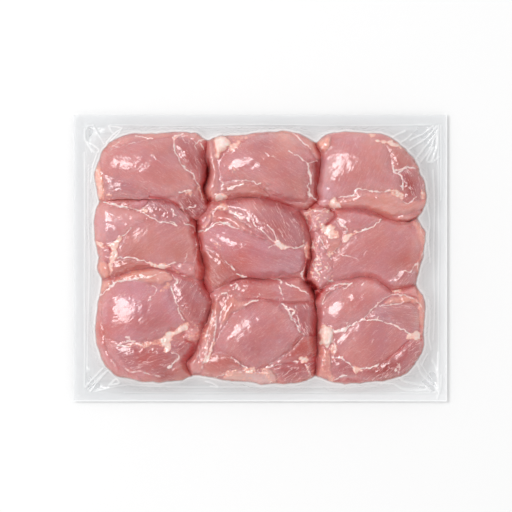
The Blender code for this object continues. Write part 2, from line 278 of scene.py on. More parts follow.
# The muscles of each piece: outline on the plan, lift and rounding of its edge in millimetres,
# colour, and the way its grain runs in degrees from +X
MUSCLES = {"a1": [
    ([(103, 152), (118, 147), (140, 142.5), (160, 139.5), (174, 140), (175.5, 151), (180, 161), (186, 169),
     (193, 175), (197, 190), (186, 192), (172, 198), (156, 196), (140, 187), (120, 180), (105, 173),
     (100, 162)], 4.2, 9, "rose", -32),
    ([(176, 137), (186, 138.5), (196, 142), (203, 152), (206.5, 168), (205, 186), (199, 188), (194, 176),
     (184, 166), (178, 154), (175, 145)], 2.9, 6, "dusk", -58),
    ([(104, 176), (118, 180), (138, 187.5), (151, 195.5), (143, 199.5), (125, 200), (108, 200), (104, 190)],
     1.4, 5, "lilac", -8),
    ([(95, 168), (100, 160), (104, 175), (106, 190), (104, 200), (97, 199), (94.6, 182)],
     1.9, 4, "apricot", 85),
    ([(100, 154), (108, 145), (122, 137), (140, 134), (170, 132.5), (192, 132.5), (207, 140), (196, 141),
     (176, 137), (155, 139.5), (135, 143), (115, 148)], 1.1, 3, "salmon", 12),
    ([(177, 197), (190, 193), (201, 197), (207, 205), (203, 213), (196, 217), (189, 213.5), (181, 207)],
     2.2, 5, "dusk", -50),
], "a2": [
    ([(222, 159), (232, 151), (241, 144), (256, 137), (272, 133), (286, 133), (298, 140), (308, 149),
     (316, 160), (309, 163.5), (309, 176), (309, 190), (306, 201), (293, 202), (279, 198), (266, 190),
     (255, 183), (240, 180), (228, 181), (221, 172)], 5.0, 9, "rose", -30),
    ([(212, 140), (216, 136.5), (222, 136), (229, 139), (230, 145), (225, 150), (220, 159), (215, 157),
     (213, 147)], 4.2, 5, "apricot", 80),
    ([(207, 142), (213, 144), (216, 156), (219, 170), (220, 184), (219, 198), (211, 200), (205.5, 190),
     (208, 172), (206, 156)], 2.4, 5, "salmon", 85),
    ([(221, 187), (230, 182), (243, 180.5), (256, 183.5), (267, 192), (268, 198), (250, 197), (232, 199),
     (223, 197)], 2.9, 5, "brick", 10),
    ([(310, 164), (319, 160), (320.5, 172), (318.5, 190), (318, 201), (313, 200), (311, 182)],
     1.5, 4, "wine", 88),
    ([(297, 134), (306, 137), (314, 142), (321.5, 156), (317, 160), (309, 150), (302, 142)],
     2.2, 4, "salmon", -50),
    ([(267, 197), (285, 201), (302, 203), (314, 202), (310, 208), (300, 210), (284, 205), (272, 201)],
     1.2, 3, "brick", -10),
], "a3": [
    ([(321, 168), (325, 154), (335, 142), (350, 137), (368, 137), (381, 142), (389, 152), (391, 168),
     (398, 177), (402, 190), (385, 192), (356, 189.5), (348, 196), (331, 199), (322, 196), (320, 184)],
     4.8, 13, "rose", 66),
    ([(381, 143), (394, 143), (405, 150), (415, 161), (419, 169), (408, 168), (397, 172), (391, 163),
     (387, 150)], 3.3, 6, "brick", 60),
    ([(398, 174), (407, 169), (418, 170), (424, 184), (425, 198), (412, 201), (404, 200), (402, 190),
     (401, 180)], 2.2, 5, "dusk", -72),
    ([(331, 199.5), (347, 197), (358, 190.5), (375, 192), (394, 194), (404, 202), (416, 200), (426, 200),
     (424, 208), (412, 213), (396, 216), (384, 215), (370, 211), (358, 208.5), (345, 208.5), (336, 206)],
     3.4, 6, "salmon", 20),
    ([(330, 200), (335, 199), (338, 203), (341, 208), (333, 208.5), (329, 205)], 2.9, 3, "cream", 60),
    ([(395, 218.5), (402, 214.5), (412, 214), (418, 216), (413, 219.5), (404, 222), (398, 221)],
     1.9, 3, "salmon", 0),
    ([(316, 142), (324, 138), (331, 136), (331, 143), (325, 154), (321, 150)], 2.3, 4, "apricot", 70),
    ([(314, 205), (320, 199), (330, 200), (328, 207), (318, 207.5)], 1.8, 3, "blush", 10),
], "b1": [
    ([(96, 206), (106, 205), (120, 207.5), (132, 210), (143, 214), (155, 221), (140, 223.5), (130, 230),
     (122, 237), (110, 241), (98, 241), (94.3, 225)], 2.2, 11, "blush", -20),
    ([(97, 224), (104, 216), (118, 217), (132, 222), (127, 232), (118, 239), (108, 242), (98, 240)],
     4.0, 13, "blush", -20),
    ([(104, 202), (118, 200), (135, 200), (149, 199.5), (147, 205), (140, 210), (128, 208.5), (114, 205)],
     2.3, 3, "mauve", 22),
    ([(150, 199.5), (160, 198.5), (172, 203), (182, 209), (189, 216), (190, 223), (180, 225), (167, 223),
     (156, 220), (147, 214), (142, 211)], 2.5, 5, "lilac", -48),
    ([(117, 251), (119, 243), (127, 234), (136, 227), (148, 223), (164, 223), (180, 226), (193, 231),
     (197, 245), (195, 258), (190, 264), (175, 264), (162, 264), (148, 261), (132, 258.5), (120, 257)],
     0.7, 11, "salmon", 36),
    ([(113, 264), (122, 259), (137, 260.5), (151, 265), (142, 267.5), (131, 270), (122, 275), (115, 279),
     (112, 272)], 2.6, 4, "brick", 12),
    ([(189, 227), (197, 230), (200, 245), (202, 258), (205, 270), (203, 279), (195, 277), (194, 266),
     (196, 250), (195, 238)], 1.9, 4, "coral", 85),
    ([(172, 266), (183, 263), (194, 265), (195, 275), (188, 278), (178, 276), (172, 272)],
     2.0, 4, "blush", 30),
    ([(96, 246), (104, 246), (111, 249), (111, 258), (104, 263), (98, 257)], 1.6, 4, "rose", 40),
    ([(98, 268), (101, 262), (107, 262), (111, 270), (111, 278), (104, 279), (99, 275)],
     2.6, 4, "apricot", 80),
], "b2": [
    ([(227, 206), (238, 199), (252, 197.5), (268, 200), (284, 206), (297, 215), (304, 226), (306, 240),
     (300, 247), (288, 246), (272, 240), (258, 232), (247, 223), (236, 213)], 4.2, 8, "dusk", -60),
    ([(213, 217), (218, 211), (226, 211), (236, 217), (248, 227), (262, 236), (268, 241), (254, 236),
     (238, 229), (224, 223), (214, 222)], 2.9, 3, "salmon", -35),
    ([(203, 237), (209, 229), (220, 225.5), (232, 227), (248, 232.5), (264, 240), (280, 247), (302, 249.5),
     (305, 258), (302, 271), (286, 274.5), (266, 277.5), (250, 277.5), (240, 271), (229, 260), (217, 252),
     (206, 245)], 5.6, 10, "mauve", -18),
    ([(203, 251), (212, 251), (223, 257), (233, 267), (241, 276), (231, 280), (222, 287), (213, 287),
     (207, 281), (205, 268)], 3.0, 7, "brick", -50),
    ([(199, 231), (205, 220), (212, 208), (221, 203), (228, 205), (222, 210), (213, 213), (211, 223),
     (205, 229)], 2.2, 3, "blush", 60),
    ([(304, 247), (308, 240), (311, 252), (308, 262), (304, 274), (302, 273), (305, 258)],
     2.6, 3, "salmon", 85),
], "b3": [
    ([(335, 216), (345, 211), (358, 210.5), (370, 213.5), (381, 219), (370, 226), (356, 231), (343, 231),
     (337, 223)], 2.7, 4, "rose", 42),
    ([(335, 252), (344, 243), (356, 235), (370, 227), (384, 219.5), (397, 222), (409, 230), (417, 241),
     (419, 252), (412, 263), (402, 268), (395, 277), (386, 280), (368, 276), (350, 278), (337, 280),
     (331, 270), (331, 259)], 1.2, 11, "rose", 36),
    ([(321, 234), (331, 237), (341, 241), (336, 250), (328, 253), (322, 246)], 2.7, 4, "salmon", 60),
    ([(310, 242), (317, 233), (322, 242), (328, 253), (332, 266), (329, 279), (320, 288), (311, 286),
     (309, 270), (310, 255)], 2.9, 6, "blush", 75),
    ([(301, 212), (312, 208), (324, 207.5), (330, 211), (327, 222), (318, 229), (311, 231), (305, 221)],
     1.9, 4, "blush", 30),
    ([(411, 221), (419, 221), (425, 231), (426.5, 241), (424, 252), (420, 264), (418, 278), (414, 268),
     (418, 256), (420, 246), (416, 234)], 2.6, 4, "apricot", 85),
    ([(396, 275), (404, 267), (413, 263), (417, 272), (417, 283), (406, 287), (396, 288), (387, 282)],
     2.7, 5, "lilac", 50), ([(400, 221), (411, 220), (412, 230), (405, 227)], 1.6, 3, "brick", -40),
], "c1": [
    ([(115, 281), (124, 274), (136, 269.5), (152, 268), (168, 271), (174, 278), (165, 284), (152, 283),
     (136, 280), (123, 281)], 3.1, 5, "apricot", 10),
    ([(103, 300), (110, 289), (121, 283), (137, 281), (152, 285), (168, 287), (173, 294), (179, 308),
     (186, 322), (172, 330), (156, 338), (136, 341), (116, 340), (105, 332), (102, 315)],
     5.1, 10, "mauve", 40),
    ([(171, 285), (180, 279), (193, 280), (203, 290), (213, 302), (210, 315), (203, 325), (192, 323),
     (183, 313), (175, 298)], 3.8, 8, "dusk", 62),
    ([(117, 347), (132, 345), (150, 348), (172, 348), (179, 354), (173, 366), (162, 372), (144, 372),
     (127, 367), (118, 358)], 2.3, 7, "dusk", 15),
    ([(97, 300), (103, 298), (103, 318), (107, 342), (114, 357), (126, 370), (142, 379), (124, 379),
     (106, 368), (96.5, 350), (94.8, 330)], 2.7, 5, "rose", -72),
    ([(148, 377), (165, 375), (176, 367), (183, 360), (188, 365), (193, 376), (183, 381), (168, 383),
     (152, 382)], 1.7, 4, "brick", 12),
    ([(171, 345), (180, 341), (190, 341), (194, 347), (188, 357), (178, 354)], 2.0, 3, "dusk", 30),
    ([(100, 282), (111, 279), (113, 284), (106, 291), (99, 298), (98, 288)], 2.3, 4, "apricot", 70),
    ([(187, 330), (196, 326), (203, 331), (200, 340), (191, 341)], 2.0, 3, "blush", 30),
], "c2": [
    ([(213, 300), (221, 290), (238, 280), (256, 280), (278, 280), (302, 277), (314, 293), (313, 301),
     (294, 302), (272, 300), (250, 299), (236, 294), (224, 297), (217, 303)], 2.6, 5, "rose", 8),
    ([(218, 338), (225, 326), (233, 314), (246, 308), (262, 302), (276, 302), (287, 310), (295, 323),
     (302, 335), (292, 347), (277, 359), (260, 368), (250, 367), (238, 358), (224, 351), (217, 345)],
     5.7, 8, "rose", 38),
    ([(220, 330), (221, 315), (226, 301), (233, 295), (241, 300), (257, 299.5), (247, 307), (234, 312),
     (227, 322)], 3.0, 6, "apricot", 70),
    ([(223, 380), (228, 371), (240, 368.5), (258, 370), (270, 368.5), (277, 376), (274, 384), (255, 384.5),
     (238, 382)], 2.0, 3, "silver", 8),
    ([(286, 303.5), (300, 302.5), (313, 303), (317.5, 314), (317, 334), (304, 335), (297, 326), (290, 314)],
     3.1, 5, "dusk", -62),
    ([(303, 336), (316.5, 337), (317, 350), (315, 357), (296, 359), (282, 363.5), (270, 366), (281, 357),
     (294, 347)], 2.0, 5, "brick", 32),
    ([(272, 367), (284, 363.5), (300, 360), (314, 361), (314, 373), (307, 380), (295, 384), (282, 384),
     (277, 376)], 2.3, 5, "dusk", 32),
    ([(204, 371), (204, 361), (213, 353.5), (226, 353.5), (240, 362), (240, 368), (228, 370), (222, 378),
     (210, 378)], 2.8, 5, "brick", -25),
    ([(213, 303), (219.5, 304), (220, 318), (215, 338), (213, 352), (205, 364), (200, 373), (196, 371),
     (199, 350), (205, 326)], 2.6, 4, "salmon", 78),
    ([(188.5, 366), (191, 357), (199, 346), (199.5, 360), (197, 372), (190, 371)], 2.3, 4, "salmon", 60),
], "c3": [
    ([(320, 310), (327, 298), (338, 289), (354, 282), (370, 279), (384, 285), (391, 294), (381, 302),
     (370, 312), (360, 319), (346, 326), (332, 329), (322, 320)], 4.2, 8, "rose", 36),
    ([(366, 317), (378, 306), (394, 304), (411, 303.5), (417, 313), (418, 330), (410, 334), (396, 326),
     (380, 320.5)], 3.5, 6, "lilac", -8),
    ([(334, 337), (346, 330), (361, 320.5), (378, 321), (396, 328), (409, 336.5), (398, 348), (384, 360),
     (368, 367), (352, 362), (339, 353), (333, 345)], 1.1, 12, "rose", 42),
    ([(331, 358), (342, 358), (352, 366), (356, 375), (342, 377), (332, 374)], 2.8, 5, "dusk", 20),
    ([(356, 375), (361, 369.5), (377, 366), (392, 356), (407, 341.5), (419, 341), (422, 352), (413, 367),
     (396, 377.5), (378, 381), (364, 381)], 2.9, 6, "dusk", 40),
    ([(318, 346), (326, 348), (331, 358), (331, 377), (322, 378), (315.5, 374), (317.5, 358)],
     2.4, 4, "salmon", 80),
    ([(320.5, 329), (326, 325), (332, 331), (331, 343), (325, 346.5), (320, 341)], 4.2, 4, "cream", 80),
    ([(320, 304), (324, 293), (338, 285), (352, 282), (342, 287.5), (330, 294), (322, 304)],
     2.6, 3, "brick", 40),
    ([(384, 302), (392, 296), (404, 294.5), (417, 299), (416, 303), (399, 303), (386, 305)],
     2.9, 3, "apricot", 5),
    ([(416, 291), (421, 292), (426, 305), (425.5, 322), (421, 339), (419, 325), (418, 306)],
     2.2, 3, "apricot", 85),
    ([(394, 291), (404, 289), (415, 287), (417, 297), (405, 294.5)], 2.1, 3, "blush", 10),
    ([(331, 380), (345, 377.5), (362, 378.5), (374, 381.5), (352, 383.5), (336, 383)], 1.5, 3, "wine", 5),
]}

# White seams of sinew and fat: path on the plan, width in millimetres and how white it is
SEAMS = {"a1": [
    ([(172, 138), (175, 141), (175, 148), (178, 158), (181, 164), (184, 167.5), (193.5, 174)], 1.2, 0.85),
    ([(193.5, 174), (196, 181), (199, 187), (203, 199)], 1.5, 0.7),
    ([(200, 143), (203, 147), (204.5, 153)], 1.2, 0.8), ([(172, 138), (177, 136.5), (183, 134)], 1.0, 0.75),
    ([(174, 139), (180, 137), (188, 136.5)], 0.8, 0.5),
    ([(204, 139.5), (198, 142), (195, 146), (198, 151)], 1.1, 0.6),
    ([(179, 193.5), (185, 191.5), (192, 191)], 1.4, 0.8), ([(152, 155), (160, 162), (171, 169)], 0.7, 0.45),
    ([(150, 139.5), (138, 143), (126, 145.5), (112, 150)], 0.9, 0.5),
    ([(136, 136.5), (143, 137.5), (153, 139)], 1.2, 0.7), ([(111, 149), (116, 145), (120, 142)], 1.2, 0.55),
    ([(187, 209), (192, 207.5), (196, 206)], 1.3, 0.8), ([(181, 204), (184, 210), (187, 213.5)], 1.3, 0.6),
    ([(176, 146), (180, 148), (182, 151)], 0.9, 0.6),
], "a2": [
    ([(289, 152), (297, 156), (301, 159.5), (307, 164)], 1.1, 0.85),
    ([(307, 164), (308.5, 170), (309.5, 176), (310.5, 184)], 2.2, 0.95),
    ([(308, 184), (308.5, 191), (310, 197)], 2.4, 0.75), ([(310, 194), (313, 198), (317, 201)], 1.2, 0.8),
    ([(307, 163.5), (312, 163), (317, 161.5)], 1.2, 0.6),
    ([(290, 131), (296, 136), (302, 142), (310, 149)], 1.1, 0.75),
    ([(228, 189.5), (235, 186.5), (243, 184)], 2.2, 0.95),
    ([(223, 186), (229, 182), (237, 180), (247, 181), (253, 183)], 1.0, 0.6),
    ([(231, 154), (237, 148), (243, 144)], 0.9, 0.5),
    ([(253, 181.5), (257, 184.5), (260, 184.5)], 1.2, 0.7),
    ([(220, 180), (223, 184), (222, 190)], 1.4, 0.75), ([(266, 153), (270, 156), (279, 160.5)], 0.8, 0.5),
    ([(254, 160), (260, 165)], 0.8, 0.5), ([(263, 184.5), (267, 189), (269, 193)], 0.9, 0.4),
    ([(212, 160), (213, 166), (216, 171)], 1.6, 0.6), ([(300, 203), (306, 203.5), (312, 202)], 0.9, 0.5),
], "a3": [
    ([(391, 160), (391.5, 166), (394, 172), (398, 174.5)], 1.8, 0.9),
    ([(398, 174.5), (401.5, 179), (402.5, 184), (402, 190)], 2.2, 0.95),
    ([(395, 170), (401, 170), (406, 168), (408, 174)], 1.0, 0.7),
    ([(404, 178), (407, 186), (411, 192), (414, 198)], 0.8, 0.45),
    ([(398, 172.5), (403, 169.5), (408, 167.5), (414, 168.5)], 1.3, 0.75),
    ([(406, 168.5), (409, 172), (411, 176)], 1.1, 0.6),
    ([(339, 198), (346, 197), (351, 196), (354, 193), (357, 190), (363, 189.8)], 1.3, 0.8),
    ([(363, 190), (374, 191.5), (388, 192)], 1.1, 0.7),
    ([(401, 199), (404, 203), (411, 202), (415, 197)], 1.4, 0.65),
    ([(404, 150), (411, 157), (416, 163)], 1.6, 0.5), ([(320, 152), (322, 147), (325, 144)], 1.6, 0.6),
    ([(355, 143), (357, 148)], 0.7, 0.4),
], "b1": [
    ([(104, 203), (112, 204), (118, 205.5), (128, 208)], 1.7, 0.95),
    ([(128, 208), (134, 209), (139, 211)], 1.1, 0.5), ([(139, 211), (144, 208.5), (149, 205)], 1.8, 0.6),
    ([(142, 212.5), (150, 216.5), (157, 220), (160, 222), (168, 223), (177, 225)], 1.2, 0.8),
    ([(171, 221), (174, 222.5), (177, 225)], 1.2, 0.7),
    ([(186, 224.5), (190, 224.5), (194, 227), (197, 231)], 1.6, 0.8),
    ([(118, 257.5), (127, 257.5), (132, 258), (141, 260), (150, 263)], 1.2, 0.85),
    ([(123, 236), (127, 233), (131, 229)], 1.2, 0.7), ([(117, 262), (121, 261), (126, 260.5)], 1.3, 0.5),
    ([(167, 266), (172, 263), (176, 261.5)], 1.4, 0.7), ([(172, 209), (174, 212), (177, 215)], 1.2, 0.7),
    ([(188, 213), (186, 217), (189, 221)], 1.0, 0.5), ([(187, 254), (186, 260), (184, 264)], 1.0, 0.5),
    ([(196, 238), (197, 250), (195, 262), (194, 272)], 1.0, 0.4),
], "b2": [
    ([(213, 216), (215, 211), (220, 207), (226, 209)], 1.9, 0.7),
    ([(230, 211.5), (235, 213.5), (239, 216), (242, 219)], 3.0, 0.9),
    ([(234, 216), (239, 220), (244, 223), (252, 227)], 1.3, 0.65), ([(247, 218.5), (250, 222)], 1.6, 0.8),
    ([(254, 223.5), (256, 227.5)], 1.5, 0.9), ([(258, 229), (264, 232), (270, 239), (277, 243)], 1.1, 0.7),
    ([(286, 247.5), (296, 247.5), (304, 245.5)], 1.9, 0.85),
    ([(268, 226), (273, 231), (276, 238), (278, 242)], 1.0, 0.7),
    ([(200, 232), (206, 230), (211, 227), (220, 222)], 1.8, 0.8),
    ([(220, 222.5), (225, 223.5), (229, 225.5)], 1.8, 0.9),
    ([(229, 226.5), (234, 228), (239, 229)], 1.0, 0.65),
    ([(303, 232), (303.5, 238), (304, 244)], 1.4, 0.55),
    ([(307, 260), (304, 269), (302, 275), (305, 281)], 1.4, 0.8), ([(225, 261), (228, 264)], 1.5, 0.95),
    ([(231, 266.5), (234, 269.5)], 1.5, 0.9), ([(237, 273), (242, 276), (247, 277.5)], 1.5, 0.9),
    ([(268, 248), (272, 246), (278, 244.5)], 1.0, 0.6),
], "b3": [
    ([(357, 232.5), (365, 229.5), (370, 227), (376, 224), (381, 219.5)], 1.3, 0.9),
    ([(342, 243), (337, 247.5), (333, 252)], 1.0, 0.5),
    ([(338, 221), (341, 226), (346, 228), (345, 234)], 1.3, 0.7),
    ([(334, 252), (342, 254.5), (350, 257), (358, 260)], 1.1, 0.6),
    ([(360, 259), (366, 253), (372, 248.5)], 0.7, 0.4),
    ([(399, 272.5), (404, 270.5), (409, 272), (412, 268), (416, 264)], 1.3, 0.75),
    ([(417, 262), (418, 270), (417.5, 282)], 1.8, 0.6),
    ([(414, 220.5), (419, 224), (421, 231), (424, 240), (423, 250), (420, 260)], 1.6, 0.5),
    ([(325, 278), (329, 280), (333, 281)], 1.6, 0.7),
    ([(305, 214), (312, 210), (319, 211), (326, 208.5)], 1.0, 0.8),
    ([(307, 222), (311, 227), (309, 232)], 1.0, 0.7),
    ([(316, 258), (313, 264), (316, 270), (321, 268)], 1.0, 0.9),
    ([(319, 236), (322, 243), (326, 249)], 0.9, 0.8), ([(314, 240), (313, 248), (316, 252)], 0.9, 0.7),
    ([(327, 262), (330, 268), (326, 272)], 0.8, 0.6),
], "c1": [
    ([(171, 286), (173, 293), (176, 301), (180, 311), (184, 320)], 1.1, 0.8),
    ([(98, 297), (103, 293), (113, 285), (120, 281.5), (128, 280.5), (140, 278.5), (156, 275)], 1.5, 0.75),
    ([(160, 273), (165, 272), (170, 274)], 1.2, 0.6),
    ([(152, 285), (157, 289), (155, 293), (150, 299)], 1.5, 0.6),
    ([(172, 353), (177, 354), (179, 357), (176, 361), (169, 367)], 1.6, 0.75),
    ([(126, 368), (131, 371), (140, 371), (150, 374), (161, 376)], 1.6, 0.55),
    ([(112, 361), (116, 366)], 1.2, 0.5), ([(172, 275), (176, 279), (178, 282), (174, 285)], 1.8, 0.65),
    ([(131, 309), (136, 304), (142, 300)], 0.8, 0.5),
    ([(116, 343), (122, 343.5), (130, 340.5), (136, 341)], 1.0, 0.75),
    ([(118, 345), (128, 346), (137, 344), (144, 346)], 1.2, 0.75),
    ([(126, 337), (131, 339), (134, 343)], 0.9, 0.6), ([(127, 336), (130, 337)], 1.8, 0.7),
], "c2": [
    ([(282, 303), (288, 309.5), (290, 315), (293, 320), (300, 331)], 1.6, 0.9),
    ([(288, 309), (292, 308), (294, 312), (291, 315)], 1.1, 0.85),
    ([(298, 317), (299, 321), (300, 326)], 1.2, 0.7),
    ([(301, 332), (304, 336), (300, 341), (292, 349), (281, 357), (269, 364)], 1.2, 0.45),
    ([(266, 366), (273, 365.5), (281, 363)], 1.4, 0.8), ([(293, 361), (297, 360)], 1.8, 0.9),
    ([(306, 365), (309, 371), (312, 376)], 1.6, 0.7),
    ([(213, 309), (211, 320), (208, 332), (207, 344), (206, 354), (202, 366)], 2.6, 0.6),
    ([(217, 316), (216, 329), (213, 343), (211, 351), (206, 361)], 2.2, 0.65),
    ([(200, 346), (200, 357), (202, 368)], 1.3, 0.6),
    ([(226, 301), (223, 308), (221, 314), (220, 322)], 1.3, 0.6),
    ([(222, 294), (227, 293), (228, 298)], 1.8, 0.8),
    ([(230, 286), (235, 283), (237, 285), (235, 288)], 1.5, 0.75),
    ([(245, 304), (251, 301.5), (258, 300)], 2.0, 0.85), ([(257, 297), (260, 294)], 1.3, 0.7),
    ([(279, 285), (280, 290), (282, 295)], 1.1, 0.8), ([(272, 278.5), (280, 280), (281, 284)], 1.2, 0.7),
    ([(286, 283), (290, 286)], 1.4, 0.8), ([(291, 285), (297, 287), (302, 291), (308, 294)], 1.4, 0.8),
    ([(311, 295), (314, 301)], 1.3, 0.6), ([(279, 300), (282, 303), (284, 298)], 1.2, 0.6),
    ([(232, 357), (236, 360), (242, 364), (248, 368)], 1.3, 0.7),
    ([(226, 373), (220, 375), (213, 376.5)], 1.3, 0.6),
], "c3": [
    ([(331, 330), (338, 330.5), (343, 329), (346, 326)], 3.2, 0.9),
    ([(333, 342), (336, 348), (333, 354)], 2.4, 0.6), ([(396, 362), (399, 368), (397, 374)], 1.0, 0.6),
    ([(388, 372), (394, 368), (399, 372)], 1.0, 0.5),
    ([(345, 331), (349, 326.5), (355, 323), (362, 319.5)], 1.9, 0.85), ([(347, 322), (346, 328)], 1.2, 0.6),
    ([(362, 319), (370, 319.3), (380, 320), (392, 324), (402, 329), (410, 334)], 1.3, 0.9),
    ([(363, 318.5), (368, 313), (373, 307.5), (380, 301), (388, 296)], 1.6, 0.6),
    ([(376, 320), (378, 316.5)], 1.2, 0.8),
    ([(379, 305), (388, 305.5), (395, 304), (403, 302.5)], 1.5, 0.7),
    ([(385, 297), (396, 294), (405, 296), (416, 299)], 1.9, 0.6),
    ([(416, 300), (420, 305), (424, 312)], 1.5, 0.55), ([(332, 357), (338, 356.5), (342, 356)], 2.2, 0.8),
    ([(341, 357), (345, 360), (350, 364), (354, 368)], 1.5, 0.8),
    ([(359, 368.5), (366, 367.5), (371, 367), (377, 364)], 1.3, 0.85),
    ([(340, 375.5), (346, 374.5)], 1.6, 0.85), ([(334, 380), (338, 377)], 1.2, 0.65),
    ([(399, 350), (393, 355), (388, 359)], 1.0, 0.5), ([(398, 363), (398, 366), (395, 370)], 1.6, 0.6),
    ([(322, 304), (323, 299), (329, 291)], 1.3, 0.7),
    ([(331, 288), (337, 285), (343, 284.5), (352, 283.5)], 1.5, 0.85), ([(344, 289), (350, 285)], 1.1, 0.7),
    ([(361, 285), (363, 283)], 1.6, 0.9), ([(364, 350), (369, 345), (373, 339)], 0.8, 0.4),
    ([(354, 354), (358, 351), (362, 349)], 0.8, 0.4),
]}

